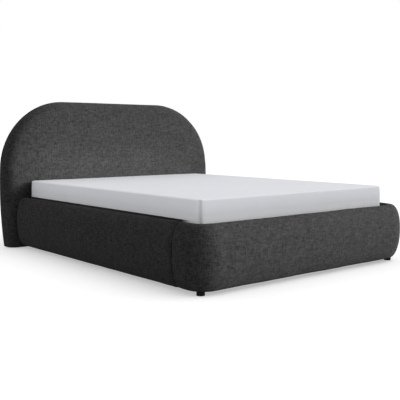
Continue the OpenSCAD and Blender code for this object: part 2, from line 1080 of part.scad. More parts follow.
module threaded_inserts() {
    color(zinc)
        both_sides()
            at_bolts(concat(head_bolts, foot_bolts))
                translate([0, 0, cover_t])
                    difference() {
                        round_bar(insert_d, insert_l);
                        translate([0, 0, -over])
                            round_bar(bolt_d + 2 * run_fit, insert_l + 2 * over);
                    }
}

// Centre rail and its hangers

centre_rail_top = ledger_top;
centre_rail_low = centre_rail_top - centre_rail_h;
hanger_low = centre_rail_low - hanger_t - hanger_drop;

module centre_rail() {
    y0 = foot_in_y + hanger_t + rail_end_gap;
    y1 = head_front_y - hanger_t - rail_end_gap;
    color(black_steel)
        difference() {
            translate([-centre_rail_w / 2, y0, centre_rail_low])
                cube([centre_rail_w, y1 - y0, centre_rail_h]);
            translate([centre_rail_wall - centre_rail_w / 2, y0 - over, centre_rail_low + centre_rail_wall])
                cube([
                    centre_rail_w - 2 * centre_rail_wall,
                    y1 - y0 + 2 * over,
                    centre_rail_h - 2 * centre_rail_wall
                ]);
            at_leg_screws()
                translate([0, 0, -over])
                    round_bar(leg_screw_d + 2 * run_fit, centre_rail_wall + 2 * over);
        }
}

module at_hanger_screws(y, turn) {
    for (x = [-hanger_screw_x, hanger_screw_x], z = [hanger_screw_z, hanger_drop - hanger_screw_z])
        translate([x, y, hanger_low + z])
            rotate([0, 0, turn])
                rotate([0, 90, 0])
                    children();
}

module hanger_screw_holes(y, turn) {
    at_hanger_screws(y, turn)
        translate([0, 0, -over])
            round_bar(screw_d + 2 * run_fit, over + cover_t + screw_grip);
}

// Hanger on the wall at the given y, with its trough along the centre rail
module hanger(y, turn) {
    wide = centre_rail_w + 2 * hanger_t + 2 * cap_fit;
    color(black_steel)
        difference() {
            translate([0, y, 0])
                rotate([0, 0, turn]) {
                    translate([-hanger_t, -wide / 2, hanger_low])
                        cube([hanger_t, wide, centre_rail_top - hanger_low]);
                    difference() {
                        translate([-hanger_l, -wide / 2, centre_rail_low - hanger_t])
                            cube([hanger_l, wide, centre_rail_h + hanger_t]);
                        translate([-hanger_l - over, hanger_t - wide / 2, centre_rail_low])
                            cube([hanger_l + over - hanger_t, wide - 2 * hanger_t, centre_rail_h + over]);
                    }
                }
            at_hanger_screws(y, turn)
                translate([0, 0, -hanger_t - over])
                    round_bar(screw_d + 2 * run_fit, hanger_t + 2 * over);
        }
}

module head_hanger() {
    hanger(head_front_y, 90);
}

module foot_hanger() {
    hanger(foot_in_y, -90);
}

module hanger_screws() {
    color(zinc) {
        at_hanger_screws(head_front_y, 90)
            translate([0, 0, -hanger_t])
                wood_screw(hanger_t + cover_t + screw_grip - over);
        at_hanger_screws(foot_in_y, -90)
            translate([0, 0, -hanger_t])
                wood_screw(hanger_t + cover_t + screw_grip - over);
    }
}

// Centre legs and levelling feet

leg_top = centre_rail_low;
leg_ys = [mattress_y + leg_spread, mattress_y - leg_spread];

module at_leg_screws() {
    for (y = leg_ys, side = [-1, 1])
        translate([0, y + side * leg_screw_x, leg_top])
            children();
}

module centre_leg(y) {
    color(black_steel)
        difference() {
            union() {
                translate([-leg_plate_w / 2, y - leg_plate_l / 2, leg_top - leg_plate_t])
                    cube([leg_plate_w, leg_plate_l, leg_plate_t]);
                translate([0, y, leg_foot_z])
                    round_bar(leg_d, leg_top - leg_foot_z - leg_plate_t / 2);
            }
            translate([0, y, leg_foot_z - over])
                round_bar(leg_d - 2 * leg_wall, leg_top - leg_foot_z - leg_plate_t + over);
            at_leg_screws()
                translate([0, 0, -leg_plate_t - over])
                    round_bar(leg_screw_d + 2 * run_fit, leg_plate_t + 2 * over);
        }
}

module head_leg() {
    centre_leg(leg_ys[0]);
}

module foot_leg() {
    centre_leg(leg_ys[1]);
}

module leg_inserts() {
    color(black_plastic)
        for (y = leg_ys)
            translate([0, y, leg_foot_z])
                difference() {
                    union() {
                        translate([0, 0, -insert_flange_h])
                            round_bar(leg_d, insert_flange_h);
                        translate([0, 0, -insert_flange_h / 2])
                            round_bar(leg_d - 2 * leg_wall, insert_h + insert_flange_h / 2);
                    }
                    translate([0, 0, -insert_flange_h - over])
                        round_bar(stem_d + 2 * run_fit, insert_h + insert_flange_h + 2 * over);
                }
}

module leg_screws() {
    color(zinc)
        at_leg_screws() {
            translate([0, 0, -leg_plate_t - leg_screw_head_h])
                round_bar(leg_screw_head_d, leg_screw_head_h);
            translate([0, 0, -leg_plate_t - leg_screw_head_h / 2])
                round_bar(leg_screw_d, leg_plate_t + leg_screw_head_h / 2 + 3 * centre_rail_wall);
        }
}

module leveller_stem(y) {
    foot_z = pad_h - pad_socket_h;
    color(zinc)
        translate([0, y, 0]) {
            translate([0, 0, foot_z])
                round_bar(stem_d, stem_top_z - foot_z);
            translate([0, 0, pad_h + collar_gap])
                cylinder(d = collar_d, h = collar_h, $fn = 6);
        }
}

module leveller_pad(y) {
    color(black_plastic)
        translate([0, y, 0])
            difference() {
                union() {
                    round_bar(pad_d, pad_h - pad_socket_h + pad_lip);
                    round_bar(pad_neck_d, pad_h);
                }
                translate([0, 0, pad_h - pad_socket_h - run_fit])
                    round_bar(stem_d + 2 * run_fit, pad_socket_h + over);
            }
}

module head_leveller_stem() {
    leveller_stem(leg_ys[0]);
}

module head_leveller_pad() {
    leveller_pad(leg_ys[0]);
}

module foot_leveller_stem() {
    leveller_stem(leg_ys[1]);
}

module foot_leveller_pad() {
    leveller_pad(leg_ys[1]);
}

// Slats and their caps

slat_ys = [for (i = [0 : slat_count - 1]) slat_first + i * slat_pitch];
slat_span = slat_out_x - slat_in_x;
slat_r = (slat_span * slat_span / 4 + slat_bow * slat_bow) / (2 * slat_bow);
slat_half_angle = asin(slat_span / 2 / slat_r);
cap_tilt = cap_depth * sin(slat_half_angle);

// Side view of a bowed slat, with its crest at y = 0
function slat_arc(r) = [
    for (i = [0 : slat_steps])
        let (a = slat_half_angle * (2 * i / slat_steps - 1))
        [r * sin(a), r * cos(a) - slat_r]
];

module slats() {
    low = slat_arc(slat_r - slat_t);
    color(beech)
        for (y = slat_ys)
            translate([(slat_in_x + slat_out_x) / 2, y + slat_w / 2, base_h])
                rotate([90, 0, 0])
                    linear_extrude(slat_w)
                        polygon(concat(slat_arc(slat_r), reversed(low)));
}

module left_slats() {
    mirror([1, 0, 0]) slats();
}

module right_slats() {
    slats();
}

// A cap with one open side, or the double cap on the centre rail
module cap_blank(x0, x1, y) {
    wide = slat_w + 2 * cap_wall + 2 * cap_fit;
    translate([x0, y - wide / 2, ledger_top])
        cube([x1 - x0, wide, cap_base + slat_t + cap_tilt + cap_wall]);
}

module cap_slot(x0, x1, y) {
    wide = slat_w + 2 * cap_fit;
    tall = slat_t + cap_tilt + 2 * cap_fit;
    translate([x0, y - wide / 2, ledger_top + cap_base - cap_fit])
        cube([x1 - x0, wide, tall]);
}

module slat_caps() {
    color(black_plastic)
        for (y = slat_ys) {
            both_sides()
                difference() {
                    cap_blank(rail_in_x - ledger_w, rail_in_x - ledger_w + cap_depth, y);
                    cap_slot(rail_in_x - ledger_w - over, slat_out_x + cap_fit, y);
                }
            difference() {
                cap_blank(-cap_depth, cap_depth, y);
                both_sides() cap_slot(slat_in_x - cap_fit, cap_depth + over, y);
            }
        }
}

mattress_core();
mattress_cover();
mattress_base_panel();
headboard_cover();
headboard_foam();
headboard_front_panel();
headboard_back_panel();
headboard_back_cloth();
headboard_left_post();
headboard_right_post();
headboard_top_rail();
headboard_middle_rail();
headboard_bottom_rail();
headboard_left_block();
headboard_right_block();
headboard_centre_block();
headboard_glides();
left_rail_cover();
right_rail_cover();
left_rail_foam();
right_rail_foam();
left_rail_board();
right_rail_board();
left_rail_lining();
right_rail_lining();
left_ledger();
right_ledger();
ledger_screws();
footboard_cover();
footboard_foam();
footboard_left_corner_foam();
footboard_right_corner_foam();
footboard_board();
footboard_left_post();
footboard_right_post();
footboard_lining();
front_feet();
front_foot_screws();
head_left_bracket();
head_right_bracket();
foot_left_bracket();
foot_right_bracket();
bracket_bolts();
bracket_washers();
threaded_inserts();
centre_rail();
head_hanger();
foot_hanger();
hanger_screws();
head_leg();
foot_leg();
leg_inserts();
leg_screws();
head_leveller_stem();
head_leveller_pad();
foot_leveller_stem();
foot_leveller_pad();
left_slats();
right_slats();
slat_caps();
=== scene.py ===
# %% [markdown]
# An upholstered bed
#
# This lesson dresses a bed whose construction is already fixed: timber boards, slats, steel brackets and
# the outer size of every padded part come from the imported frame. The hard parts have their true shape
# there and only need a finish. The soft parts are plain solids there, so each is made anew here, and a
# small studio is put round the bed at the end.

# %% Load the frame
import json
import math
import bmesh
import bpy
from mathutils import Matrix, Vector, noise


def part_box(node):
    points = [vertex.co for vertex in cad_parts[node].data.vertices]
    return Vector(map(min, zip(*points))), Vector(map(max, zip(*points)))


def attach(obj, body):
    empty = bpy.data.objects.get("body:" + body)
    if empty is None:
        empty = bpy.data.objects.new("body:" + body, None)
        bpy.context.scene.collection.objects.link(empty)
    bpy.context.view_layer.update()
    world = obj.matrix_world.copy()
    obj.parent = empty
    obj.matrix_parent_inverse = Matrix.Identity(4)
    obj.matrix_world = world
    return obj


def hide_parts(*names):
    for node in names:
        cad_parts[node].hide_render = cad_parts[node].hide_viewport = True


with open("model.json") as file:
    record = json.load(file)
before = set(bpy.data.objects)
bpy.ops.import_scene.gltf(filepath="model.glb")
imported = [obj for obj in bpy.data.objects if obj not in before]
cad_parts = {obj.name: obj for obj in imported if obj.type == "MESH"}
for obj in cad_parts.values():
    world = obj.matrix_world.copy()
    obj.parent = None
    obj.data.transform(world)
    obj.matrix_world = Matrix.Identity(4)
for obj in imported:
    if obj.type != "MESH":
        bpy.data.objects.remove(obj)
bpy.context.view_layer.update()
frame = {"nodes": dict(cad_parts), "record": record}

nodes = frame["nodes"]
print("frame loaded with", len(nodes), "pieces")

# %% [markdown]
# The camera
#
# A product picture like this one is taken with a short telephoto lens from a little above mattress
# height. The place and the angles below are those of the reference view, so the object fills the frame in
# the same way.

# %% Camera
camera_place = Vector((-3.0962, -3.779, 0.8377))
camera_yaw = math.radians(39.584)
camera_pitch = math.radians(5.341)
camera_lens = 62.08
sensor_width = 36.0
view_reach = 100.0
look = Vector((
    math.sin(camera_yaw) * math.cos(camera_pitch),
    math.cos(camera_yaw) * math.cos(camera_pitch),
    -math.sin(camera_pitch),
))
camera = bpy.data.objects.new("camera", bpy.data.cameras.new("camera"))
camera.data.lens = camera_lens
camera.data.sensor_width = sensor_width
camera.data.clip_end = view_reach
camera.location = camera_place
camera.rotation_euler = look.to_track_quat("-Z", "Y").to_euler()
bpy.context.scene.collection.objects.link(camera)
bpy.context.scene.camera = camera
print("camera looks along", [round(c, 3) for c in look])

# %% [markdown]
# Helpers for shader nodes
#
# A material is a small graph. Written out in full it takes many lines, so a few helpers keep the cells
# short: one adds a node with its settings and values, one makes a group whose sockets have names, so that
# several materials can share an effect, and the others each stand for one sum, one mix of colours or one
# bump.

# %% Node helpers
mix_factor, mix_first, mix_second, mix_result = 0, 6, 7, 2


def set_socket(tree, socket, value):
    if isinstance(value, bpy.types.NodeSocket):
        tree.links.new(value, socket)
    else:
        socket.default_value = value


def set_inputs(made, values):
    for name, value in values.items():
        made.inputs[name].default_value = value


def add_node(tree, kind, values=None, **settings):
    made = tree.nodes.new(kind)
    for name, value in settings.items():
        setattr(made, name, value)
    for name, value in (values or {}).items():
        set_socket(tree, made.inputs[name], value)
    return made


def new_group(name, inputs, outputs):
    group = bpy.data.node_groups.new(name, "ShaderNodeTree")
    for socket_name, kind, value in inputs:
        socket = group.interface.new_socket(socket_name, in_out="INPUT", socket_type=kind)
        if value is not None:
            socket.default_value = value
    for socket_name, kind in outputs:
        group.interface.new_socket(socket_name, in_out="OUTPUT", socket_type=kind)
    return group, group.nodes.new("NodeGroupInput"), group.nodes.new("NodeGroupOutput")


def math_node(tree, operation, first, second=0.0, clamp=False):
    values = {0: first, 1: second}
    return add_node(tree, "ShaderNodeMath", values, operation=operation, use_clamp=clamp).outputs[0]


def vector_node(tree, operation, first, second):
    return add_node(tree, "ShaderNodeVectorMath", {0: first, 1: second}, operation=operation).outputs[0]


def scaled(tree, vector, factor):
    return add_node(tree, "ShaderNodeVectorMath", {0: vector, "Scale": factor}, operation="SCALE").outputs[0]


def mix_colour(tree, share, first, second):
    made = add_node(tree, "ShaderNodeMix", data_type="RGBA")
    for index, value in ((mix_factor, share), (mix_first, first), (mix_second, second)):
        set_socket(tree, made.inputs[index], value)
    return made.outputs[mix_result]


def weighted_sum(tree, parts, clamp=False):
    first, second, third = [math_node(tree, "MULTIPLY", part, weight) for part, weight in parts]
    return math_node(tree, "ADD", math_node(tree, "ADD", first, second), third, clamp)


def faded(tree, value, start, run):
    values = {"Value": value, "From Min": start, "From Max": start + run}
    return add_node(tree, "ShaderNodeMapRange", values).outputs[0]


def new_material(name):
    material = bpy.data.materials.new(name)
    material.use_nodes = True
    tree = material.node_tree
    shader = tree.nodes["Principled BSDF"]
    place = add_node(tree, "ShaderNodeTexCoord").outputs["Object"]
    return material, tree, shader, place


def add_bump(tree, shader, height, distance, strength=1.0):
    bump = add_node(tree, "ShaderNodeBump", {"Height": height, "Distance": distance, "Strength": strength})
    tree.links.new(bump.outputs["Normal"], shader.inputs["Normal"])


def grey(level, blue=0.0):
    return (level, level, level * (1.0 + blue), 1.0)


# %% [markdown]
# The cover cloth
#
# The cover is a charcoal looped yarn cloth, with small loops about three millimetres wide. A picture of
# cloth would repeat over pads as large as these, so noise in space makes the pattern, and its scale stays
# true on every pad. The loops are rounded cells, and a slow noise bends their rows, because no yarn lies
# quite straight.

# %% Loops of the cloth
loops, loops_in, loops_out = new_group(
    "looped_cloth",
    [
        ("Place", "NodeSocketVector", None),
        ("Loop Width", "NodeSocketFloat", 0.004),
        ("Upright Flecks", "NodeSocketVector", None),
        ("Level Flecks", "NodeSocketVector", None),
        ("Dark", "NodeSocketColor", None),
        ("Light", "NodeSocketColor", None),
    ],
    [("Colour", "NodeSocketColor"), ("Height", "NodeSocketFloat")],
)
row_bend = 1.6
cloth_place = loops_in.outputs["Place"]
loop_place = scaled(loops, cloth_place, math_node(loops, "DIVIDE", 1.0, loops_in.outputs["Loop Width"]))
loop_drift = add_node(loops, "ShaderNodeTexNoise", {"Vector": loop_place, "Scale": 0.55, "Detail": 2.0})
loop_bent = vector_node(loops, "ADD", loop_place, scaled(loops, loop_drift.outputs["Color"], row_bend))
loop_values = {"Vector": loop_bent, "Scale": 1.0, "Smoothness": 0.6}
loop_cells = add_node(loops, "ShaderNodeTexVoronoi", loop_values, feature="SMOOTH_F1")
loop_crown = math_node(loops, "SUBTRACT", 1.0, loop_cells.outputs["Distance"], clamp=True)
fibres = add_node(loops, "ShaderNodeTexNoise", {"Vector": loop_place, "Scale": 3.0, "Detail": 3.0})
print("the cloth group starts with", len(loops.nodes), "nodes")

# %% [markdown]
# Flecks
#
# Loops of lighter and darker yarn lie together in short streaks. They could be drawn one by one, but
# noise that is stretched along one direction gives them all at once. The cloth has two sets that cross,
# one running up and down and one lying level. Their mean, the crowns of the loops and a slow cloud give
# the tone between the two colours of the yarn, and the loops, the fibres and the flecks give the height.

# %% Flecks, tone and height
fleck_low, fleck_high = 0.36, 0.64


def fleck_set(stretch):
    stretched = vector_node(loops, "MULTIPLY", cloth_place, stretch)
    streaks = add_node(
        loops, "ShaderNodeTexNoise", {"Vector": stretched, "Scale": 1.0, "Detail": 2.0, "Distortion": 0.5}
    )
    return faded(loops, streaks.outputs["Fac"], fleck_low, fleck_high - fleck_low)


both_sets = [fleck_set(loops_in.outputs[name]) for name in ("Upright Flecks", "Level Flecks")]
fleck_share = math_node(loops, "MULTIPLY", math_node(loops, "ADD", *both_sets), 0.5)
clouds = add_node(loops, "ShaderNodeTexNoise", {"Vector": cloth_place, "Scale": 5.0}).outputs["Fac"]
tone = weighted_sum(loops, [(loop_crown, 0.24), (fleck_share, 0.62), (clouds, 0.14)], clamp=True)
pile_height = weighted_sum(loops, [(loop_crown, 0.7), (fibres.outputs["Fac"], 0.2), (fleck_share, 0.45)])
yarn_colour = mix_colour(loops, tone, loops_in.outputs["Dark"], loops_in.outputs["Light"])
loops.links.new(yarn_colour, loops_out.inputs["Colour"])
loops.links.new(pile_height, loops_out.inputs["Height"])
print("looped cloth group made with", len(loops.nodes), "nodes")

# %% [markdown]
# Cloth finishes
#
# The same group serves the cover and the black lining with other sizes and colours. Looped yarn is dull,
# so the cloth has hardly any gloss and only a trace of sheen from its loose fibres. Its look comes from
# the flecks, and their two colours lie far apart. The lining is finer, and its flecks are as long as they
# are wide.

# %% Cover and lining materials
def looped_material(name, loop_width, fleck_width, fleck_length, dark, light, relief, sheen, sheen_level):
    material, tree, shader, place = new_material(name)
    across, along = 1.0 / fleck_width, 1.0 / fleck_length
    values = {
        "Place": place, "Loop Width": loop_width, "Upright Flecks": (across, across, along),
        "Level Flecks": (along, along, across), "Dark": dark, "Light": light,
    }
    cloth = add_node(tree, "ShaderNodeGroup", values, node_tree=loops)
    tree.links.new(cloth.outputs["Colour"], shader.inputs["Base Color"])
    add_bump(tree, shader, cloth.outputs["Height"], relief)
    set_inputs(shader, {"Roughness": 0.9, "Specular IOR Level": 0.05})
    set_inputs(shader, {"Sheen Weight": sheen, "Sheen Roughness": 0.5, "Sheen Tint": grey(sheen_level)})
    return material


cover_cloth = looped_material(
    "cover_weave", loop_width=0.0028, fleck_width=0.008, fleck_length=0.034,
    dark=grey(0.005), light=grey(0.043), relief=0.0011, sheen=0.02, sheen_level=0.5,
)
lining_cloth = looped_material(
    "lining", loop_width=0.0016, fleck_width=0.016, fleck_length=0.016,
    dark=grey(0.008), light=grey(0.026), relief=0.0003, sheen=0.05, sheen_level=0.4,
)
print("cloths:", cover_cloth.name, "and", lining_cloth.name)

# %% [markdown]
# Painted light and shade on the mattress
#
# Three painted bands break the pale mattress: a painted light band along its lower part, painted shade
# along both sides at the top of the rails for the shadow line between mattress and rails, and painted
# shade on the sewn corners, where the cloth dips into the seam. Masks made from the place on the
# mattress draw them; the places are worked out from the boxes of the mattress and the rail.

# %% Masks for the painted light band, the painted gap shade and the painted corner shade
bed_low, bed_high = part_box("mattress_cover")
rail_low, rail_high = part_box("right_rail_cover")
rim_light_top = rail_high.z + 0.037
rim_light_fade = 0.035
shade_band_side = bed_high.x - 0.014
shade_band_low = rail_high.z - 0.017
shade_band_high = rail_high.z + 0.001
shade_band_start = bed_low.y + 0.0685
shade_band_fade = 0.08
corner_shade_starts = {"X": bed_high.x - 0.028, "Y": -bed_low.y - 0.0265}
corner_shade_fade = 0.012


# Painted light: a lighter band over the lower part of the mattress.
def rim_light_mask(tree, parts):
    return faded(tree, parts["Z"], rim_light_top, -rim_light_fade)


# Painted shade: a dark band along both sides just at the top of the rails, standing in for the shadow line
# between the mattress and the rails.
def shade_band_mask(tree, parts):
    beside = math_node(tree, "GREATER_THAN", math_node(tree, "ABSOLUTE", parts["X"]), shade_band_side)
    over = math_node(tree, "GREATER_THAN", parts["Z"], shade_band_low)
    under = math_node(tree, "LESS_THAN", parts["Z"], shade_band_high)
    band = math_node(tree, "MULTIPLY", math_node(tree, "MULTIPLY", beside, over), under)
    return math_node(tree, "MULTIPLY", band, faded(tree, parts["Y"], shade_band_start, shade_band_fade))


# Painted shade: the upright corners are darker where the cloth dips into the seam.
def corner_shade_mask(tree, parts):
    near = [
        faded(tree, math_node(tree, "ABSOLUTE", parts[axis]), start, corner_shade_fade)
        for axis, start in corner_shade_starts.items()
    ]
    return math_node(tree, "MULTIPLY", *near)


print("painted gap shade from", round(shade_band_low, 3), "to", round(shade_band_high, 3), "m")

# %% [markdown]
# Mattress ticking
#
# The mattress has a smooth knitted cover, almost white with a touch of blue. Close up the knit shows as
# fine ribs. Modelled ribs would need millions of faces, so crossed wave textures make their relief as a
# bump, and a slow noise keeps the large faces from being even. The cloth underneath is the same knit,
# greyer and coarser.

# %% Ticking material
def knit_material(name, colour, shade, rib, painted_marks=()):
    material, tree, shader, place = new_material(name)
    values = {"Vector": place, "Scale": 1.0 / rib, "Distortion": 0.6, "Detail": 1.0}
    ribs = [
        add_node(tree, "ShaderNodeTexWave", values, wave_type="BANDS", bands_direction=axis).outputs["Fac"]
        for axis in "XYZ"
    ]
    knit = math_node(tree, "MULTIPLY", math_node(tree, "ADD", ribs[0], ribs[1]), ribs[2])
    slow = add_node(tree, "ShaderNodeTexNoise", {"Vector": place, "Scale": 7.0, "Detail": 3.0})
    cloth_colour = mix_colour(tree, slow.outputs["Fac"], shade, colour)
    # Each painted mark lays painted light or painted shade into the knit's colour through its mask.
    for mask, painted_colour in painted_marks:
        parts = add_node(tree, "ShaderNodeSeparateXYZ", {"Vector": place}).outputs
        cloth_colour = mix_colour(tree, mask(tree, parts), cloth_colour, painted_colour)
    tree.links.new(cloth_colour, shader.inputs["Base Color"])
    add_bump(tree, shader, knit, distance=0.0002, strength=0.5)
    set_inputs(shader, {"Roughness": 0.85, "Specular IOR Level": 0.2, "Sheen Weight": 0.1})
    return material


ticking_light = (0.80, 0.81, 0.85, 1.0)
ticking_shade = (0.76, 0.77, 0.81, 1.0)
# painted light for the lower band of the mattress
painted_rim_light = (0.94, 0.945, 0.96, 1.0)
# painted shade for the sewn corners
painted_corner_shade = (0.56, 0.565, 0.59, 1.0)
# painted shade for the shadow line at the top of the rails
painted_gap_shade = grey(0.012)
ticking = knit_material(
    "mattress_ticking", ticking_light, ticking_shade, rib=0.01,
    painted_marks=((rim_light_mask, painted_rim_light), (shade_band_mask, painted_gap_shade), (corner_shade_mask, painted_corner_shade)),
)
underside_cloth = knit_material("mattress_underside", grey(0.5, 0.04), grey(0.42, 0.04), rib=0.02)
print("cloths:", ticking.name, "and", underside_cloth.name)

# %% [markdown]
# Wood grain
#
# Pine, plywood and beech share one group. A picture of wood would show the same knots on every slat, so
# the grain is noise in space, stretched along the piece, with darker late wood in rings through it.

# %% Wood group
grain, grain_in, grain_out = new_group(
    "wood_grain",
    [
        ("Place", "NodeSocketVector", None),
        ("Stretch", "NodeSocketVector", None),
        ("Early Wood", "NodeSocketColor", None),
        ("Late Wood", "NodeSocketColor", None),
    ],
    [("Colour", "NodeSocketColor"), ("Height", "NodeSocketFloat")],
)
line_share, ring_share = 0.55, 0.45
grain_place = vector_node(grain, "MULTIPLY", grain_in.outputs["Place"], grain_in.outputs["Stretch"])
grain_lines = add_node(
    grain, "ShaderNodeTexNoise", {"Vector": grain_place, "Scale": 1.0, "Detail": 4.0, "Distortion": 0.8}
).outputs["Fac"]
grain_rings = add_node(
    grain, "ShaderNodeTexWave",
    {"Vector": grain_place, "Scale": 0.35, "Distortion": 6.0, "Detail": 2.0, "Detail Scale": 0.6},
    wave_type="RINGS"
).outputs["Fac"]
lines = math_node(grain, "MULTIPLY", grain_lines, line_share)
rings = math_node(grain, "MULTIPLY", grain_rings, ring_share)
grain_tone = math_node(grain, "ADD", lines, rings)
wood_colour = mix_colour(grain, grain_tone, grain_in.outputs["Early Wood"], grain_in.outputs["Late Wood"])
grain.links.new(wood_colour, grain_out.inputs["Colour"])
grain.links.new(grain_lines, grain_out.inputs["Height"])
print("wood group made with", len(grain.nodes), "nodes")

# %% [markdown]
# Timbers
#
# The rails and posts are sawn softwood, the sheets are plywood, and the sprung slats are layers of beech
# under a smooth coat. Each timber stretches the grain along its own length. Plywood and beech add their
# layers, which depend on the depth alone, so that they only show on the cut edges.

# %% Wood materials
grain_across, grain_along = 90.0, 4.0
layer_shade = 0.55
ply_layer = 0.0018
slat_layer = 0.0016


def wood_material(name, along, early, late, roughness, layer=0.0, depth=None):
    material, tree, shader, place = new_material(name)
    stretch = [grain_across, grain_across, grain_across]
    stretch["XYZ".index(along)] = grain_along
    values = {"Place": place, "Stretch": stretch, "Early Wood": early, "Late Wood": late}
    wood = add_node(tree, "ShaderNodeGroup", values, node_tree=grain)
    colour = wood.outputs["Colour"]
    if depth:
        parts = add_node(tree, "ShaderNodeSeparateXYZ", {"Vector": place}).outputs
        layers = math_node(tree, "DIVIDE", math_node(tree, "PINGPONG", parts[depth], layer), layer)
        colour = mix_colour(tree, math_node(tree, "MULTIPLY", layers, layer_shade), colour, late)
    tree.links.new(colour, shader.inputs["Base Color"])
    add_bump(tree, shader, wood.outputs["Height"], distance=0.0004, strength=0.6)
    set_inputs(shader, {"Roughness": roughness})
    return material


pine_light = (0.62, 0.42, 0.22, 1.0)
pine_dark = (0.42, 0.24, 0.10, 1.0)
ply_light = (0.52, 0.34, 0.18, 1.0)
ply_dark = (0.28, 0.15, 0.07, 1.0)
beech_light = (0.66, 0.45, 0.27, 1.0)
beech_dark = (0.50, 0.30, 0.16, 1.0)
pine = {axis: wood_material("softwood_" + axis, axis, pine_light, pine_dark, 0.7) for axis in "XYZ"}
plywood = {
    axis: wood_material("plywood_" + axis, "Z", ply_light, ply_dark, 0.75, layer=ply_layer, depth=axis)
    for axis in "XY"
}
beech = wood_material("beech", "X", beech_light, beech_dark, 0.38, layer=slat_layer, depth="Z")
print("timbers:", len(pine) + len(plywood) + 1)

# %% [markdown]
# Steel and plastic
#
# Powder coat has a fine orange peel, zinc plate a faint clouded bloom, and moulded plastic a spark eroded
# grain. All three are one idea, a fine noise in roughness and height, so one group with other values
# serves them all. The plastic of the feet is the deepest black and has the least gloss.

# %% Fine grain group and hard materials
grit, grit_in, grit_out = new_group(
    "fine_grit",
    [
        ("Place", "NodeSocketVector", None),
        ("Scale", "NodeSocketFloat", 600.0),
        ("Smooth", "NodeSocketFloat", 0.4),
        ("Rough", "NodeSocketFloat", 0.6),
        ("Dark", "NodeSocketColor", None),
        ("Light", "NodeSocketColor", None),
    ],
    [("Colour", "NodeSocketColor"), ("Roughness", "NodeSocketFloat"), ("Height", "NodeSocketFloat")],
)
grit_place = grit_in.outputs["Place"]
grit_noise = add_node(
    grit, "ShaderNodeTexNoise", {"Vector": grit_place, "Scale": grit_in.outputs["Scale"], "Detail": 2.0}
).outputs["Fac"]
grit_cloud = add_node(
    grit, "ShaderNodeTexNoise", {"Vector": grit_place, "Scale": 28.0, "Detail": 4.0}
).outputs["Fac"]
grit_rough = add_node(
    grit, "ShaderNodeMapRange",
    {"Value": grit_cloud, "To Min": grit_in.outputs["Smooth"], "To Max": grit_in.outputs["Rough"]}
).outputs[0]
grit_colour = mix_colour(grit, grit_cloud, grit_in.outputs["Dark"], grit_in.outputs["Light"])
grit.links.new(grit_noise, grit_out.inputs["Height"])
grit.links.new(grit_rough, grit_out.inputs["Roughness"])
grit.links.new(grit_colour, grit_out.inputs["Colour"])


def hard_material(name, scale, smooth, rough, dark, light, relief, metallic=0.0, gloss=0.5):
    material, tree, shader, place = new_material(name)
    values = {"Place": place, "Scale": scale, "Smooth": smooth, "Rough": rough, "Dark": dark, "Light": light}
    skin = add_node(tree, "ShaderNodeGroup", values, node_tree=grit)
    tree.links.new(skin.outputs["Colour"], shader.inputs["Base Color"])
    tree.links.new(skin.outputs["Roughness"], shader.inputs["Roughness"])
    add_bump(tree, shader, skin.outputs["Height"], relief, strength=0.6)
    set_inputs(shader, {"Metallic": metallic, "Specular IOR Level": gloss})
    return material


zinc_dark = (0.52, 0.53, 0.55, 1.0)
zinc_light = (0.72, 0.72, 0.70, 1.0)
hard = {
    "black_steel": hard_material(
        "black_steel", scale=900.0, smooth=0.38, rough=0.55, dark=grey(0.012), light=grey(0.022),
        relief=0.0002,
    ),
    "black_plastic": hard_material(
        "black_plastic", scale=1600.0, smooth=0.5, rough=0.7, dark=grey(0.002), light=grey(0.005),
        relief=0.0001, gloss=0.1,
    ),
    "zinc": hard_material(
        "zinc", scale=400.0, smooth=0.28, rough=0.5, dark=zinc_dark, light=zinc_light,
        relief=0.0001, metallic=1.0,
    ),
}
print("hard materials:", ", ".join(hard))

# %% [markdown]
# Finishes on the construction
#
# The hard pieces keep the shape that they have in the frame. Each takes its material by the slot that the
# record names. Softwood takes the grain that runs along its own longest side, and plywood shows its
# layers across its thinnest, so the axis is measured on each piece and not written by hand.

# %% Dress the construction
slots = {part["node"]: part["material_slot"] for part in frame["record"]["subparts"]}


def axis_of(name, pick):
    low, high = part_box(name)
    spans = list(high - low)
    return "XYZ"[spans.index(pick(spans))]


def finish_for(name):
    slot = slots[name]
    if slot in hard:
        return hard[slot]
    if slot == "softwood":
        return pine[axis_of(name, max)]
    if slot == "plywood":
        return plywood[axis_of(name, min)]
    if slot == "beech":
        return beech
    return lining_cloth


for name, piece in nodes.items():
    piece.data.materials.clear()
    piece.data.materials.append(finish_for(name))
print("materials set on", len(nodes), "pieces of the frame")

# %% [markdown]
# Rings and nets
#
# Every padded piece of the frame starts as a ring of points that is pulled along a path, because a pad is
# one section all the way and an extruded ring keeps its net even. The ring carries a number on each
# point, so that after a pull each new point still knows its place in the section. Flat pieces are one
# face that is cut into a net by parallel planes.

# %% Ring and net helpers
def new_bmesh():
    bm = bmesh.new()
    bm.verts.layers.int.new("slot")
    return bm


def set_ring(bm, points):
    ring = bmesh.ops.create_circle(bm, segments=len(points), radius=1.0)["verts"]
    slot = bm.verts.layers.int["slot"]
    for index, (vert, point) in enumerate(zip(ring, points)):
        vert.co = point
        vert[slot] = index
    return bm.edges[:]


def pull_ring(bm, edges, shift):
    made = bmesh.ops.extrude_edge_only(bm, edges=edges)["geom"]
    verts = [item for item in made if isinstance(item, bmesh.types.BMVert)]
    bmesh.ops.translate(bm, verts=verts, vec=shift)
    return [item for item in made if isinstance(item, bmesh.types.BMEdge)]


def place_ring(bm, edges, points):
    made = bmesh.ops.extrude_edge_only(bm, edges=edges)["geom"]
    slot = bm.verts.layers.int["slot"]
    for item in made:
        if isinstance(item, bmesh.types.BMVert):
            item.co = points[item[slot]]
    return [item for item in made if isinstance(item, bmesh.types.BMEdge)]


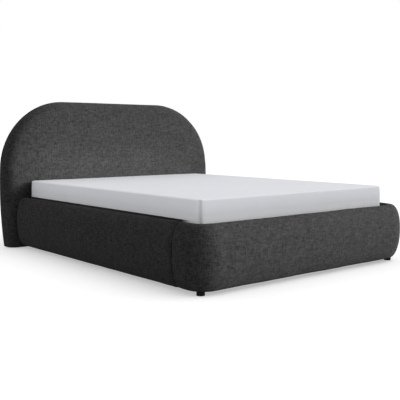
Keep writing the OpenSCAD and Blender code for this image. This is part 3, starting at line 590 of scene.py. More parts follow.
def close_shape(bm):
    bmesh.ops.holes_fill(bm, edges=bm.edges[:], sides=0)
    bmesh.ops.recalc_face_normals(bm, faces=bm.faces[:])


cut_margin = 0.000001


def cut_even(bm, axis, places):
    normal = Vector((0.0, 0.0, 0.0))
    normal[axis] = 1.0
    for place in places:
        whole = bm.verts[:] + bm.edges[:] + bm.faces[:]
        bmesh.ops.bisect_plane(bm, geom=whole, dist=cut_margin, plane_co=normal * place, plane_no=normal)


def steps_between(low, high, cell):
    count = max(round((high - low) / cell), 1)
    return [low + (high - low) * i / count for i in range(1, count)]


# %% [markdown]
# Objects and modifiers
#
# A bmesh becomes an object when its form is done. What follows is left to modifiers, since an even net, a
# wrap onto another surface and a finer mesh are long work by hand. Each is applied at once, so that the
# next step and the export see plain geometry.

# %% Object helpers
def to_object(bm, name, material):
    mesh = bpy.data.meshes.new(name)
    bm.to_mesh(mesh)
    bm.free()
    piece = bpy.data.objects.new(name, mesh)
    bpy.context.scene.collection.objects.link(piece)
    mesh.materials.append(material)
    mesh.shade_smooth()
    return piece


def apply_modifiers(piece):
    bpy.context.view_layer.update()
    shaped = piece.evaluated_get(bpy.context.evaluated_depsgraph_get())
    mesh = bpy.data.meshes.new_from_object(shaped)
    piece.modifiers.clear()
    piece.data = mesh
    mesh.shade_smooth()


def remesh(piece, voxel, passes):
    modifier = piece.modifiers.new("remesh", "REMESH")
    modifier.mode = "VOXEL"
    modifier.voxel_size = voxel
    smooth = piece.modifiers.new("smooth", "SMOOTH")
    smooth.factor = 0.5
    smooth.iterations = passes
    apply_modifiers(piece)


def wrap(piece, target, group=""):
    modifier = piece.modifiers.new("wrap", "SHRINKWRAP")
    modifier.target = target
    modifier.wrap_method = "NEAREST_SURFACEPOINT"
    modifier.vertex_group = group
    apply_modifiers(piece)


def subdivide(piece):
    modifier = piece.modifiers.new("fine", "SUBSURF")
    modifier.levels = 1
    modifier.render_levels = 1
    apply_modifiers(piece)


# %% [markdown]
# Moving points
#
# Waves, puckers and belly are made by moving each point of a finished net by a small amount that depends
# on its place. A noise that is read from the place gives the same bed on every run.

# %% Point helpers
def move_points(piece, shift):
    normals = [vert.normal.copy() for vert in piece.data.vertices]
    for vert, normal in zip(piece.data.vertices, normals):
        vert.co = vert.co + shift(vert.co, normal)
    piece.data.update()


def unevenness(point, size, seed):
    return noise.noise(Vector(point) / size + Vector((seed, 2.0 * seed, 3.0 * seed)))


def ramp(value, low, high):
    return min(max((value - low) / (high - low), 0.0), 1.0)


# %% [markdown]
# Swelling the pads
#
# Foam pushes its cover outwards wherever the cover isn't stapled, sewn or pressed against something.
# Sculpting could show that, but Blender's cloth under air pressure finds the shape by itself: the fixed
# points are pinned, the rest swells, and the result is kept when it has settled. The pad is drawn in a
# little first, and no point may travel further than a set reach, so the finished pad keeps the size that
# it has in the frame. A loose cloth would also cut the corner of a tight curve, which foam doesn't let it
# do, so a point may hardly sink.

# %% Cloth settling
settle_frames = 20
cloth_quality = 4
draw_in = 0.0016
sink_share = 0.15


def settle(piece, freedom, pressure, reach):
    move_points(piece, lambda point, normal: normal * (-draw_in * freedom(point)))
    start = [(vert.co.copy(), vert.normal.copy()) for vert in piece.data.vertices]
    pins = piece.vertex_groups.new(name="pins")
    for vert in piece.data.vertices:
        pins.add([vert.index], 1.0 - freedom(vert.co), "REPLACE")
    cloth = piece.modifiers.new("cloth", "CLOTH")
    cloth.settings.quality = cloth_quality
    cloth.settings.vertex_group_mass = "pins"
    cloth.settings.use_pressure = True
    cloth.settings.uniform_pressure_force = pressure
    cloth.settings.effector_weights.gravity = 0.0
    cloth.collision_settings.use_collision = False
    for step in range(1, settle_frames + 1):
        bpy.context.scene.frame_set(step)
    apply_modifiers(piece)
    bpy.context.scene.frame_set(1)
    piece.vertex_groups.clear()
    for vert, (before, outward) in zip(piece.data.vertices, start):
        travel = vert.co - before
        travel -= outward * min(travel.dot(outward), 0.0) * (1.0 - sink_share)
        vert.co = before + travel * (reach / (reach + travel.length))
    piece.data.update()


# %% [markdown]
# The bolster section
#
# Rails and footboard are one profile: flat on the inside where the board is, rounded over the top and
# down the outside, and flat underneath. Its size is read from the frame, and the curve between is a
# superellipse, which is a little fuller than an ellipse, as foam under a stretched cover is. On the
# inside the cover stops short and leaves a shallow opening, where the black lining lies on the board.

# %% Sizes of the bolster
foot_low, foot_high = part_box("footboard_cover")
head_low, head_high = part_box("headboard_cover")
lining_low, lining_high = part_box("right_rail_lining")
inside_x = rail_low.x
thickness = rail_high.x - rail_low.x
outer_round = 0.070
crest = thickness - outer_round
bottom_z = rail_low.z
top_z = rail_high.z
widest_share = 0.52
widest_z = bottom_z + widest_share * (top_z - bottom_z)
slat_clearance = 0.008
shoulder_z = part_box("right_slats")[1].z + slat_clearance
mouth_lip = 0.003
mouth_low = lining_low.z - mouth_lip
mouth_high = lining_high.z + mouth_lip
mouth_depth = 0.0027
mouth_cell = 0.020
wall_drops = [0.003, 0.018, 0.032]
fullness = 2.2
inner_edge = 0.014
bottom_edge = 0.010
bottom_turn = (0.003, 0.004)
bottom_parts = 3
quarter_steps = 12
print("bolster", round(thickness, 3), "m thick and", round(top_z - bottom_z, 3), "m high")

# %% [markdown]
# Drawing the section
#
# The points run from the widest place of the outside up over the top, down the inner wall with its
# opening, along the bottom and up the outside again. The two curved stretches come from one formula, so
# no point of them is placed by hand.

# %% Section of the bolster
def curve_share(angle, power):
    return abs(math.cos(angle)) ** (2 / power), abs(math.sin(angle)) ** (2 / power)


def inner_wall():
    upper = [shoulder_z, (shoulder_z + mouth_high) / 2, mouth_high + mouth_lip]
    mouth = [mouth_high] + list(reversed(steps_between(mouth_low, mouth_high, mouth_cell))) + [mouth_low]
    lower = [mouth_low - drop for drop in wall_drops] + [bottom_z + inner_edge]
    return [(0.0, z) for z in upper] + [(mouth_depth, z) for z in mouth] + [(0.0, z) for z in lower]


def bolster_section():
    quarter = [math.pi / 2 * i / quarter_steps for i in range(quarter_steps + 1)]
    points = []
    for angle in quarter:
        across, up = curve_share(angle, fullness)
        points.append((crest + outer_round * across, widest_z + (top_z - widest_z) * up))
    for angle in reversed(quarter[1:-1]):
        across, up = curve_share(angle, fullness)
        points.append((crest - crest * across, shoulder_z + (top_z - shoulder_z) * up))
    points += inner_wall()
    points += [(bottom_turn[0], bottom_z + bottom_turn[1]), (bottom_edge, bottom_z)]
    for i in range(1, bottom_parts + 1):
        points.append((bottom_edge + (crest - bottom_edge) * i / bottom_parts, bottom_z))
    for angle in reversed(quarter[1:-1]):
        across = curve_share(angle, fullness)[0]
        down = math.sin(angle)
        points.append((crest + outer_round * across, widest_z - (widest_z - bottom_z) * down))
    return points


section = bolster_section()
print("bolster section has", len(section), "points")

# %% [markdown]
# Rounding the ends
#
# At a seam the bolster is drawn in: its top and bottom corners are rounded as seen from the side, and its
# outer face curves away. Moving the points by their distance from the end does this after the ring has
# been pulled straight, which is far simpler than making every ring by hand.

# %% End shaping
top_corner = 0.030
bottom_corner = 0.016
seam_depth, seam_run = 0.027, 0.048
head_depth, head_run = 0.054, 0.058
inner_depth, inner_run = 0.009, 0.010
mouth_start, mouth_full = 0.044, 0.047
fine_stations = [0.0, 0.0015, 0.004, 0.008, 0.014, 0.022, 0.032, 0.044, 0.047, 0.058, 0.072]
touch = 0.0001


def dip(distance, reach):
    share = 1.0 - ramp(distance, 0.0, reach)
    return 1.0 - math.sqrt(1.0 - share * share)


def shaped_section_point(across, height, distance, depth, run):
    upper = height > widest_z
    half = (top_z - widest_z) if upper else (widest_z - bottom_z)
    corner = top_corner if upper else bottom_corner
    if across < mouth_depth + touch and mouth_low - touch < height < mouth_high + touch:
        across *= ramp(distance, mouth_start, mouth_full)
    height = widest_z + (height - widest_z) * (1.0 - corner * dip(distance, corner) / half)
    if across > crest:
        return crest + (across - crest) * (1.0 - depth * dip(distance, run) / outer_round), height
    return crest - (crest - across) * (1.0 - inner_depth * dip(distance, inner_run) / crest), height


# %% [markdown]
# Side rails
#
# A side rail runs from the seam at the footboard to the headboard. Its head end is pressed against the
# soft edge of the headboard, so it follows that curve. The ring is pulled along the rail station by
# station, close together near the ends where the shape turns. Only the right rail is drawn, and the left
# one is its mirror image.

# %% Rail shape
soft_width = 0.110
head_fullness = 3.0
back_round = 0.008
swell_height = 0.008
soft_depth = head_high.y - head_low.y - swell_height - back_round
front_y = head_high.y - back_round - soft_depth
flat_half = head_high.x - soft_width
press_gap = 0.0003
rail_start = rail_low.y
rail_end = front_y - press_gap
rail_cell = 0.014
bend_reach = 0.35


def head_recess(across):
    share = ramp(inside_x + across, flat_half, flat_half + soft_width)
    return soft_depth * (1.0 - (1.0 - share ** head_fullness) ** (1.0 / head_fullness))


def make_rail():
    bm = new_bmesh()
    length = rail_end - rail_start
    middle = steps_between(fine_stations[-1], length - fine_stations[-1], rail_cell)
    stations = fine_stations + middle + [length - value for value in reversed(fine_stations)]
    edges = set_ring(bm, [Vector((inside_x + u, rail_start, z)) for u, z in section])
    for before, after in zip(stations, stations[1:]):
        edges = pull_ring(bm, edges, (0.0, after - before, 0.0))
    close_shape(bm)
    for vert in bm.verts:
        across = vert.co.x - inside_x
        from_seam = vert.co.y - rail_start
        from_head = rail_end - vert.co.y
        if from_seam < from_head:
            across, height = shaped_section_point(across, vert.co.z, from_seam, seam_depth, seam_run)
            place = vert.co.y
        else:
            across, height = shaped_section_point(across, vert.co.z, from_head, head_depth, head_run)
            place = vert.co.y + head_recess(across) * (1.0 - ramp(from_head, 0.0, bend_reach))
        vert.co = (inside_x + across, place, height)
    return bm


# %% [markdown]
# Softening a pad
#
# Foam under a stretched cover is never quite true. Long shallow waves run over the pad, and short puckers
# spread from the seam where the cloth is gathered. Both are a small shift along the normal, which is
# enough at this depth and keeps the pad's size. They fade out on the flat inner face, which is stapled to
# the board and meets the ledger.

# %% Pad softness
pad_pressure = 3.0
pad_reach = 0.006
wave_height = 0.0018
wave_size = 0.23
wave_squeeze = 0.7
small_wave_share = 0.35
small_wave_size = wave_size / 3.2
pucker_height = 0.0014
pucker_reach = 0.045
pucker_turns = 92.0
pucker_drift = 9.0
pucker_drift_size = 0.12
held_depth, free_depth = 0.004, 0.034
held_lift, free_lift = 0.004, 0.030
held_end, free_end = 0.015, 0.090


def soft_shift(point, normal, seam_distance, hold):
    wave = wave_height * unevenness((point.x, point.y, point.z * wave_squeeze), wave_size, seed=3.0)
    wave += small_wave_share * wave_height * unevenness(point, small_wave_size, seed=9.0)
    along_edge = point.z * pucker_turns + pucker_drift * unevenness(point, pucker_drift_size, seed=5.0)
    pucker = pucker_height * math.sin(along_edge) * math.exp(-((seam_distance / pucker_reach) ** 2))
    return normal * (wave + pucker) * hold


def inner_hold(across):
    return ramp(across, held_depth, free_depth)


def make_pad(name, bm, seam_distance, end_distance, across, cad_nodes):
    pad = to_object(bm, name, cover_cloth)

    def freedom(point):
        free = inner_hold(across(point)) * ramp(point.z - bottom_z, held_lift, free_lift)
        return free * ramp(end_distance(point), held_end, free_end)

    settle(pad, freedom, pad_pressure, pad_reach)
    subdivide(pad)
    move_points(
        pad, lambda point, normal: soft_shift(point, normal, seam_distance(point), inner_hold(across(point)))
    )
    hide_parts(*cad_nodes)
    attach(pad, "frame")
    print(name, "has", len(pad.data.polygons), "faces")
    return pad


# %% [markdown]
# The two rails
#
# Each pad tells the helper three things about a point: how far it is from the seam, how far from an end,
# and how far from the inner face. For a rail they follow from its place alone.

# %% Left and right rail
def rail_seam_distance(point):
    return abs(point.y - rail_start)


def rail_end_distance(point):
    return min(point.y - rail_start, rail_end - point.y)


def rail_across(point):
    return abs(point.x) - inside_x


for side in ("right", "left"):
    rail_bm = make_rail()
    if side == "left":
        bmesh.ops.scale(rail_bm, vec=(-1.0, 1.0, 1.0), verts=rail_bm.verts[:])
        bmesh.ops.recalc_face_normals(rail_bm, faces=rail_bm.faces[:])
    make_pad(
        side + "_rail_upholstery", rail_bm, rail_seam_distance, rail_end_distance, rail_across,
        [side + "_rail_cover", side + "_rail_foam"],
    )

# %% [markdown]
# The footboard
#
# The footboard is the same bolster bent into a U. A curve with a bevel object could sweep the section,
# but its points would not know their place in it. So the ring is pulled forward from the left seam, spun
# round the corner, pulled across the front, spun again and pulled back, as a pipe bender would do it.

# %% Footboard shape
inner_round = 0.042
corner_y = foot_low.y + thickness + inner_round
corner_x = inside_x - inner_round
foot_seam_y = foot_high.y
corner_steps = 14
front_steps = 96
merge_gap = 0.00002
wall_slack = 0.001


def spin_ring(bm, edges, centre, angle, steps):
    verts = list({vert for edge in edges for vert in edge.verts})
    made = bmesh.ops.spin(
        bm, geom=verts + edges, cent=centre, axis=(0.0, 0.0, 1.0), angle=angle, steps=steps,
        use_duplicate=False
    )["geom_last"]
    return [item for item in made if isinstance(item, bmesh.types.BMEdge)]


def make_footboard():
    bm = new_bmesh()
    stations = fine_stations + [foot_seam_y - corner_y]
    edges = set_ring(bm, [Vector((-inside_x - u, foot_seam_y, z)) for u, z in section])
    for before, after in zip(stations, stations[1:]):
        edges = pull_ring(bm, edges, (0.0, before - after, 0.0))
    edges = spin_ring(bm, edges, (-corner_x, corner_y, 0.0), math.pi / 2, corner_steps)
    for _ in range(front_steps):
        edges = pull_ring(bm, edges, (2 * corner_x / front_steps, 0.0, 0.0))
    edges = spin_ring(bm, edges, (corner_x, corner_y, 0.0), math.pi / 2, corner_steps)
    back = list(reversed(stations))
    for before, after in zip(back, back[1:]):
        edges = pull_ring(bm, edges, (0.0, before - after, 0.0))
    bmesh.ops.remove_doubles(bm, verts=bm.verts[:], dist=merge_gap)
    close_shape(bm)
    for vert in bm.verts:
        if vert.co.y > corner_y and abs(vert.co.x) > inside_x - wall_slack:
            side = math.copysign(1.0, vert.co.x)
            across, height = shaped_section_point(
                abs(vert.co.x) - inside_x, vert.co.z, foot_seam_y - vert.co.y, seam_depth, seam_run
            )
            vert.co = (side * (inside_x + across), vert.co.y, height)
    return bm


# %% [markdown]
# The footboard as a pad
#
# The distance from the inner face has three cases here: beside the mattress, in front of it, and round
# the corners, where it is measured from the centre of the bend.

# %% Footboard pad
def footboard_across(point):
    if point.y > corner_y:
        return abs(point.x) - inside_x
    if abs(point.x) > corner_x:
        return Vector((abs(point.x) - corner_x, corner_y - point.y)).length - inner_round
    return corner_y - inner_round - point.y


def footboard_seam_distance(point):
    return foot_seam_y - point.y


make_pad(
    "footboard_upholstery", make_footboard(), footboard_seam_distance, footboard_seam_distance,
    footboard_across,
    ["footboard_cover", "footboard_foam", "footboard_left_corner_foam", "footboard_right_corner_foam"],
)

# %% [markdown]
# The headboard's outline
#
# The arched headboard has long bowed sides, two big corners and a level top. Each of these is an arc, and
# the point where two of them meet is worked out, so that the outline has no kink. One function gives the
# outline at any inset and depth, and the padding swells a little above the mattress.

# %% Headboard outline
side_round = 3.480
waist_z = 0.404
top_round = 0.531
side_points, corner_points = 15, 24
head_bottom = head_low.z
side_centre_x = head_high.x - side_round
top_centre_z = head_high.z - top_round
link = side_round - top_round
join_angle = math.asin((top_centre_z - waist_z) / link)
top_centre_x = side_centre_x + link * math.cos(join_angle)
swell_start, swell_full = 0.541, 0.721


def swell(height):
    share = ramp(height, swell_start, swell_full)
    return swell_height * share * share * (3.0 - 2.0 * share)


def head_ring(inset, depth, lift, swell_share):
    side = side_round - inset
    corner = top_round - inset
    low = math.asin((head_bottom + lift - waist_z) / side)
    side_turns = [low + (join_angle - low) * i / side_points for i in range(side_points)]
    corner_turn = math.pi / 2 - join_angle
    corner_turns = [join_angle + corner_turn * i / corner_points for i in range(corner_points + 1)]
    half = [(side_centre_x + side * math.cos(turn), waist_z + side * math.sin(turn)) for turn in side_turns]
    for turn in corner_turns:
        half.append((top_centre_x + corner * math.cos(turn), top_centre_z + corner * math.sin(turn)))
    half = [Vector((x, depth - swell_share * swell(z), z)) for x, z in half]
    return half + [Vector((-p.x, p.y, p.z)) for p in reversed(half)]


def head_inset(point):
    across = abs(point.x)
    turn = math.atan2(point.z - top_centre_z, across - top_centre_x)
    inset = side_round - math.hypot(across - side_centre_x, point.z - waist_z)
    if across < top_centre_x:
        inset = min(inset, head_high.z - point.z)
    elif turn > join_angle:
        inset = top_round - math.hypot(across - top_centre_x, point.z - top_centre_z)
    return min(inset, point.z - head_bottom)


print("side and corner of the headboard meet at", round(math.degrees(join_angle), 1), "degrees")

# %% [markdown]
# The headboard's form
#
# The outline is drawn as a ring on the back, then pulled round the thick soft edge and inwards over the
# front. An opening is left in the back, where the black cloth lies on the timber. Only the part that
# nothing holds may swell: beside the rails, above the mattress and away from the back and the floor.

# %% Headboard form
back_mouth = 0.060
back_recess = 0.0024
back_edge = [(0.020, 0.0, 0.012), (0.004, 0.002, 0.001), (0.0, back_round, 0.0)]
soft_steps = 16
front_shares = [(1.2, 0.25), (1.65, 0.7), (2.0, 0.9), (2.3, 1.0)]
free_low, free_high = 0.52, 0.62
free_run = 0.05
held_back, free_back = 0.010, 0.050
held_foot, free_foot = 0.01, 0.06
mouth_edge = (back_mouth - 0.014, back_mouth - 0.002)
back_face = 0.004
head_wave_height = 1.3 * wave_height
head_wave_size = 0.31
head_wave_squeeze = 0.8
head_small_height = 0.4 * wave_height
head_small_size = 0.09


def make_headboard():
    bm = new_bmesh()
    edges = set_ring(bm, head_ring(back_mouth, head_high.y, back_mouth, 0.0))
    for inset, forward, lift in back_edge:
        edges = place_ring(bm, edges, head_ring(inset, head_high.y - forward, lift, 0.0))
    for i in range(1, soft_steps + 1):
        across, up = curve_share(math.pi / 2 * i / soft_steps, head_fullness)
        ring = head_ring(soft_width * (1 - across), front_y + soft_depth * (1 - up), 0.0, 0.0)
        edges = place_ring(bm, edges, ring)
    for share, full in front_shares:
        ring = head_ring(soft_width * share, front_y, soft_width * (share - 1.0), full)
        edges = place_ring(bm, edges, ring)
    close_shape(bm)
    return bm


def headboard_freedom(point):
    front = ramp(head_high.y - point.y, held_back, free_back)
    front *= ramp(point.z - head_bottom, held_foot, free_foot)
    beside = ramp(abs(point.x), inside_x + thickness, inside_x + thickness + free_run)
    above = ramp(point.z, free_low, free_high)
    return front * max(beside, above)


def headboard_shift(point, normal):
    squeezed = (point.x, point.y, point.z * head_wave_squeeze)
    wave = head_wave_height * unevenness(squeezed, head_wave_size, seed=14.0)
    wave += head_small_height * unevenness(point, head_small_size, seed=21.0)
    shift = normal * wave * headboard_freedom(point)
    if point.y > head_high.y - back_face:
        shift.y -= back_recess * ramp(head_inset(point), *mouth_edge)
    return shift


# %% [markdown]
# Settling the headboard
#
# The rings are long and narrow on the front, and cloth needs small even quads. A voxel remesh gives them,
# but it rounds the form a little, so the net is laid back on the true shape by a shrinkwrap before it
# settles. The held rims at the back and the bottom are then cut close together and laid on the true shape
# once more, which keeps them crisp and the timber covered.

# %% Settle the headboard
head_voxel = 0.013
smooth_passes = 5
rim_cuts = [0.001, 0.003, 0.006, 0.010]


def crisp_rims(piece, true_shape):
    bm = bmesh.new()
    bm.from_mesh(piece.data)
    cut_even(bm, 1, [head_high.y - cut for cut in rim_cuts])
    cut_even(bm, 2, [head_bottom + cut for cut in rim_cuts])
    bm.to_mesh(piece.data)
    bm.free()
    held = piece.vertex_groups.new(name="held")
    for vert in piece.data.vertices:
        held.add([vert.index], 1.0 - headboard_freedom(vert.co), "REPLACE")
    wrap(piece, true_shape, "held")
    piece.vertex_groups.clear()


headboard = to_object(make_headboard(), "headboard_upholstery", cover_cloth)
true_shape = to_object(make_headboard(), "headboard_true_shape", cover_cloth)
remesh(headboard, head_voxel, smooth_passes)
wrap(headboard, true_shape)
settle(headboard, headboard_freedom, pad_pressure, pad_reach)
crisp_rims(headboard, true_shape)
bpy.data.objects.remove(true_shape)
move_points(headboard, headboard_shift)
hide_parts("headboard_cover", "headboard_foam")
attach(headboard, "frame")
print("headboard has", len(headboard.data.polygons), "faces")

# %% [markdown]
# The mattress
#
# A foam mattress in a zipped cover is a firm block with crisp rims and rounded corners, and its sides
# belly out a little. Bevels would leave long thin faces that can't settle, so the block is first cut into
# a net, close together near its edges, and its points are moved afterwards.

# %% Mattress sizes
bed_middle = (bed_low + bed_high) / 2
bed_half = (bed_high - bed_low) / 2
plan_round = 0.045
rim_round = 0.010
side_belly = 0.004
seam_groove = 0.006
seam_width = math.radians(9.0)
seam_fade = 0.012
under_recess = 0.0034
under_start, under_full = 0.030, 0.0445
mattress_cell = 0.024
edge_cuts = [0.0025, 0.005, 0.0075, 0.010, 0.018, 0.030, 0.0445]
rim_cut_count = 4
print("mattress", [round(2 * side, 3) for side in bed_half], "m")

# %% [markdown]
# Rounding the block
#
# A square corner becomes round when the largest distance of a point from the straight part is used as
# its radius. This is done first in plan and then over the rim. The belly takes a little away towards the
# top and the bottom, and each upright corner gets a narrow groove where its seam is drawn tight.

# %% Rounding the block
def mattress_point(point):
    away = point - bed_middle
    out = Vector((max(abs(away[axis]) - bed_half[axis] + plan_round, 0.0) for axis in (0, 1)))
    radius = max(out)
    up = max(abs(away.z) - bed_half.z + rim_round, 0.0)
    if radius == 0.0:
        return point.copy()
    base = Vector([min(abs(away[axis]), bed_half[axis] - plan_round) for axis in (0, 1)])
    over_rim = max(radius - plan_round + rim_round, 0.0)
    if over_rim > 0.0 and up > 0.0:
        scale = rim_round / math.hypot(over_rim, up)
        radius += over_rim * (scale - 1.0)
        up *= scale
    height = abs(away.z) if up == 0.0 else bed_half.z - rim_round + up
    radius -= side_belly * (abs(away.z) / bed_half.z) ** 2 * ramp(radius, 0.0, plan_round)
    if min(out) > 0.0:
        turn = math.atan2(out.y, out.x) - math.pi / 4
        groove = seam_groove * math.exp(-((turn / seam_width) ** 2))
        radius -= groove * ramp(bed_half.z - abs(away.z), 0.0, seam_fade)
    place = base + out.normalized() * radius
    signs = [math.copysign(1.0, value) for value in away]
    return bed_middle + Vector((place.x * signs[0], place.y * signs[1], height * signs[2]))


# %% [markdown]
# The mattress as a net
#
# A cube is scaled to the size in the frame and cut by planes, because a grid alone would have no sides.
# The middle of the underside is lifted a little, which leaves room for the cloth that is sewn there.

# %% Mattress net
def plan_inset(point):
    return min(bed_half[axis] - abs(point[axis] - bed_middle[axis]) for axis in (0, 1))


def make_mattress():
    bm = bmesh.new()
    bmesh.ops.create_cube(bm, size=1.0)
    bmesh.ops.scale(bm, vec=bed_high - bed_low, verts=bm.verts[:])
    bmesh.ops.translate(bm, vec=bed_middle, verts=bm.verts[:])
    for axis in (0, 1, 2):
        low, high = bed_low[axis], bed_high[axis]
        cuts = edge_cuts if axis < 2 else edge_cuts[:rim_cut_count]
        inner = steps_between(low + cuts[-1], high - cuts[-1], mattress_cell)
        places = [low + cut for cut in cuts] + inner + [high - cut for cut in cuts]
        cut_even(bm, axis, places)
    for vert in bm.verts:
        under = ramp(plan_inset(vert.co), under_start, under_full) if vert.co.z < bed_low.z + touch else 0.0
        vert.co = mattress_point(vert.co) + Vector((0.0, 0.0, under_recess * under))
    bmesh.ops.recalc_face_normals(bm, faces=bm.faces[:])
    return bm


# %% [markdown]
# Softening the mattress
#
# Only the top may swell, since the rest is held by the rails and the slats. A weak pressure does for firm
# foam, and two faint noises keep the large top from looking like a board.

# %% Mattress softness
mattress_pressure = 2.0
mattress_reach = 0.004
top_wave_height, top_wave_size = 0.0011, 0.34
top_ripple_height, top_ripple_size = 0.0003, 0.11
held_rim, free_rim = 0.012, 0.16
still_lift, wavy_lift = 0.02, 0.07


def mattress_freedom(point):
    return ramp(plan_inset(point), held_rim, free_rim) if point.z > bed_middle.z else 0.0


def mattress_shift(point, normal):
    wave = top_wave_height * unevenness(point, top_wave_size, seed=31.0)
    wave += top_ripple_height * unevenness(point, top_ripple_size, seed=37.0)
    return normal * wave * ramp(point.z - bed_low.z, still_lift, wavy_lift)


mattress = to_object(make_mattress(), "mattress_ticking_cover", ticking)
settle(mattress, mattress_freedom, mattress_pressure, mattress_reach)
subdivide(mattress)
move_points(mattress, mattress_shift)
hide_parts("mattress_cover", "mattress_core")
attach(mattress, "mattress")
print("mattress has", len(mattress.data.polygons), "faces")

# %% [markdown]
# Thin cloths
#
# The linings, the back cloth and the cloth under the mattress are held flat by staples or stitches. Cloth
# that is held flat needs no simulation: each starts as one flat face, is cut into a net, gets the faint
# ripples that stapled cloth has, and is thickened.

# %% Sheet helpers
sheet_thickness = 0.0009
ripple_height = 0.0005
ripple_size = 0.07


def flat_net(outline, axes, cell, normal_axis):
    bm = bmesh.new()
    bm.faces.new([bm.verts.new(point) for point in outline])
    for axis in axes:
        values = [point[axis] for point in outline]
        cut_even(bm, axis, steps_between(min(values), max(values), cell))
    for vert in bm.verts:
        vert.co[normal_axis] += ripple_height * unevenness(vert.co, ripple_size, seed=41.0)
    return bm


def finish_sheet(bm, name, material, body, cad_node, flat):
    bmesh.ops.recalc_face_normals(bm, faces=bm.faces[:])
    piece = to_object(bm, name, material)
    solid = piece.modifiers.new("thickness", "SOLIDIFY")
    solid.thickness = sheet_thickness
    solid.offset = 0.0
    apply_modifiers(piece)
    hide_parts(cad_node)
    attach(piece, body)
    print(name, "is", [round(side, 3) for side in flat], "m")
    return piece


# %% [markdown]
# Rail linings
#
# Black lining closes the inner face of each rail, in the shallow opening that the cover leaves. It is a
# plain strip, so its four corners are all that it needs.

# %% Rail linings
lining_lift = 0.0008
lining_cell = 0.025

for side, sign in (("right", 1.0), ("left", -1.0)):
    x = sign * (inside_x + lining_lift)
    low, high = lining_low, lining_high
    corners = [(x, low.y, low.z), (x, high.y, low.z), (x, high.y, high.z), (x, low.y, high.z)]
    net = flat_net([Vector(corner) for corner in corners], (1, 2), lining_cell, 0)
    finish_sheet(
        net, side + "_rail_lining_cloth", lining_cloth, "frame", side + "_rail_lining",
        (high.z - low.z, high.y - low.y),
    )

# %% [markdown]
# Footboard lining
#
# This strip runs round both inner corners. Making it bent would need arcs of faces, so it is cut straight
# and rolled round the corners afterwards, as the real one is: each point keeps its distance along the
# strip.

# %% Footboard lining
strip_low, strip_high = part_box("footboard_lining")
strip_round = inner_round + lining_lift
strip_straight = strip_high.y - corner_y
strip_bend = strip_round * math.pi / 2
strip_length = 2 * (strip_straight + strip_bend) + 2 * corner_x
strip_cell = 0.012


def strip_place(along):
    side = -1.0 if along < strip_length / 2 else 1.0
    run = along if side < 0 else strip_length - along
    if run < strip_straight:
        return side * (corner_x + strip_round), strip_high.y - run
    if run < strip_straight + strip_bend:
        angle = (run - strip_straight) / strip_round
        return side * (corner_x + strip_round * math.cos(angle)), corner_y - strip_round * math.sin(angle)
    return side * (corner_x - (run - strip_straight - strip_bend)), corner_y - strip_round


strip_corners = [
    Vector((0.0, 0.0, strip_low.z)), Vector((strip_length, 0.0, strip_low.z)),
    Vector((strip_length, 0.0, strip_high.z)), Vector((0.0, 0.0, strip_high.z)),
]
strip_net = flat_net(strip_corners, (0, 2), strip_cell, 1)
for vert in strip_net.verts:
    place = strip_place(vert.co.x)
    vert.co = (place[0], place[1], vert.co.z)
finish_sheet(
    strip_net, "footboard_lining_cloth", lining_cloth, "frame", "footboard_lining",
    (strip_high.z - strip_low.z, strip_length),
)

# %% [markdown]
# Back cloth
#
# A thin black cloth is stapled over the opening in the headboard's back. It follows the arch, so its
# outline is the headboard's own outline at the inset of the opening.

# %% Back cloth
back_gap = 0.0004
back_depth = 0.00155
back_cell = 0.030
back_outline = head_ring(back_mouth + back_gap, head_high.y - back_depth, back_mouth + back_gap, 0.0)
back_low, back_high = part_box("headboard_back_cloth")
finish_sheet(
    flat_net(back_outline, (0, 2), back_cell, 1), "headboard_back_sheet", lining_cloth, "frame",
    "headboard_back_cloth", (back_high.x - back_low.x, back_high.z - back_low.z),
)

# %% [markdown]
# Cloth under the mattress
#
# The underside has its own plain cloth, sewn in a little way from the rim. Its corners are quarter
# circles that a loop draws one after the other.

# %% Cloth under the mattress
panel_low, panel_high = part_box("mattress_base_panel")
panel_round = 0.025
panel_lift = 0.0012
panel_cell = 0.040
corner_parts = 4
panel_outline = []
for turn, (sign_x, sign_y) in enumerate(((1, 1), (-1, 1), (-1, -1), (1, -1))):
    centre = Vector((
        sign_x * (panel_high.x - panel_round),
        bed_middle.y + sign_y * (panel_high.y - bed_middle.y - panel_round),
        panel_low.z + panel_lift,
    ))
    for step in range(corner_parts + 1):
        angle = math.pi / 2 * (turn + step / corner_parts)
        panel_outline.append(centre + panel_round * Vector((math.cos(angle), math.sin(angle), 0.0)))
finish_sheet(
    flat_net(panel_outline, (0, 1), panel_cell, 2), "mattress_underside_sheet", underside_cloth, "mattress",
    "mattress_base_panel",
    (panel_high.x - panel_low.x, panel_high.y - panel_low.y),
)

# %% [markdown]
# Staples on the back
#
# The back cloth is stapled every seven centimetres along its rim. A staple that has been driven home
# shows only its crown, a flat wire, so each is one small bar that follows the rim. They are one mesh,
# because objects of their own would say no more.

# %% Staples
staple_pitch = 0.070
staple_size = (0.012, 0.0008, 0.0013)
staple_inset = back_mouth + 0.010
staple_depth = 0.0010
staple_line = head_ring(staple_inset, head_high.y - staple_depth, staple_inset, 0.0)
staple_bm = bmesh.new()
spare = 0.0
staple_count = 0
for start, end in zip(staple_line, staple_line[1:] + staple_line[:1]):
    run = end - start
    along = staple_pitch - spare
    turn = Matrix.Rotation(-math.atan2(run.z, run.x), 4, "Y") @ Matrix.Diagonal((*staple_size, 1.0))
    while along < run.length:
        place = Matrix.Translation(start + run.normalized() * along)
        bmesh.ops.create_cube(staple_bm, size=1.0, matrix=place @ turn)
        staple_count += 1
        along += staple_pitch
    spare = run.length - (along - staple_pitch)
staples = to_object(staple_bm, "headboard_staples", hard["zinc"])
staples.data.shade_flat()
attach(staples, "frame")
print("staples:", staple_count)

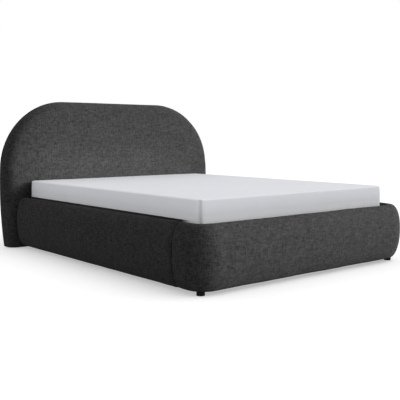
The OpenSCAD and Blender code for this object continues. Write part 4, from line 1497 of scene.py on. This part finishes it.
# %% [markdown]
# The floor
#
# The floor of a product picture is white and still keeps the shadow. A brighter lamp would burn out the
# mattress, so the floor has two parts: a diffuse surface that takes the shadow, and a little light of its
# own that only the camera, a reflection or a look through something clear can see.

# %% Floor
floor_half = 30.0
floor_grey = grey(0.74)
floor_lift = 0.42


def seen_directly(tree):
    rays = add_node(tree, "ShaderNodeLightPath").outputs
    seen = math_node(tree, "ADD", rays["Is Camera Ray"], rays["Is Glossy Ray"])
    return math_node(tree, "ADD", seen, rays["Is Transmission Ray"], clamp=True)


floor_bm = bmesh.new()
bmesh.ops.create_grid(floor_bm, x_segments=1, y_segments=1, size=floor_half)
floor_material, floor_tree, floor_shader, _ = new_material("floor")
set_inputs(floor_shader, {"Base Color": floor_grey, "Roughness": 1.0, "Specular IOR Level": 0.0})
set_inputs(floor_shader, {"Emission Color": grey(1.0)})
floor_glow = math_node(floor_tree, "MULTIPLY", seen_directly(floor_tree), floor_lift)
floor_tree.links.new(floor_glow, floor_shader.inputs["Emission Strength"])
floor = to_object(floor_bm, "floor", floor_material)
print("floor half side", floor_half, "m")

# %% [markdown]
# The sky
#
# An even sky stands for the big soft boxes round the bed. It fills the shaded sides at a level below one,
# and the camera sees it at one, which is pure white.

# %% World
sky_level = 0.66
world = bpy.data.worlds.new("studio")
world.use_nodes = True
sky = world.node_tree
sky_light = sky.nodes["Background"]
sky_light.inputs["Color"].default_value = grey(1.0)
seen_extra = math_node(sky, "MULTIPLY", seen_directly(sky), 1.0 - sky_level)
sky.links.new(math_node(sky, "ADD", seen_extra, sky_level), sky_light.inputs["Strength"])
bpy.context.scene.world = world
print("sky level", sky_level)

# %% [markdown]
# The lamps
#
# A broad soft sun from above lights the whole bed. A sun has no fall-off, so the floor stays even into
# the distance. The covers that face the foot end are far lighter than the sides, while the mattress
# hardly changes. One lamp can't do both, so a key lamp from the front right is linked to the four covers
# alone and is stronger than a plain lamp. A weak strip lamp, linked to the headboard and unseen by the
# camera, stands for the light that the mattress throws up onto it.

# %% Lamps
def add_lamp(name, kind, direction, power):
    light = bpy.data.lights.new(name, kind)
    light.energy = power
    lamp = bpy.data.objects.new(name, light)
    lamp.rotation_euler = Vector(direction).to_track_quat("Z", "Y").to_euler()
    bpy.context.scene.collection.objects.link(lamp)
    return lamp


def light_only(lamp, group_name, pieces):
    group = bpy.data.collections.new(group_name)
    for piece in pieces:
        group.objects.link(piece)
    lamp.light_linking.receiver_collection = group


top_lamp = add_lamp("soft_top", "SUN", (0.14, -0.14, 0.265), power=1.04)
top_lamp.data.angle = math.radians(60.0)

cover_lamp = add_lamp("cover_key", "SUN", (0.75, -0.60, 0.28), power=7.4)
cover_lamp.data.angle = math.radians(35.0)
cover_names = [name + "_upholstery" for name in ("right_rail", "left_rail", "footboard", "headboard")]
light_only(cover_lamp, "covers", [bpy.data.objects[name] for name in cover_names])

tube_length, tube_width = 1.5, 0.05
tube_gap, tube_height = 0.25, 0.56
strip_lamp = add_lamp("headboard_fill", "AREA", (0.0, -1.0, -0.15), power=2.6)
strip_lamp.data.shape = "RECTANGLE"
strip_lamp.data.size = tube_length
strip_lamp.data.size_y = tube_width
strip_lamp.location = (0.0, front_y - tube_gap, tube_height)
strip_lamp.visible_camera = False
light_only(strip_lamp, "headboard_only", [headboard])
print("lamps:", top_lamp.name, cover_lamp.name, strip_lamp.name)

# %% [markdown]
# Colour
#
# The standard view shows a colour as it is written, where the filmic ones would grey the white
# background.

# %% Colour management
bpy.context.scene.view_settings.view_transform = "Standard"
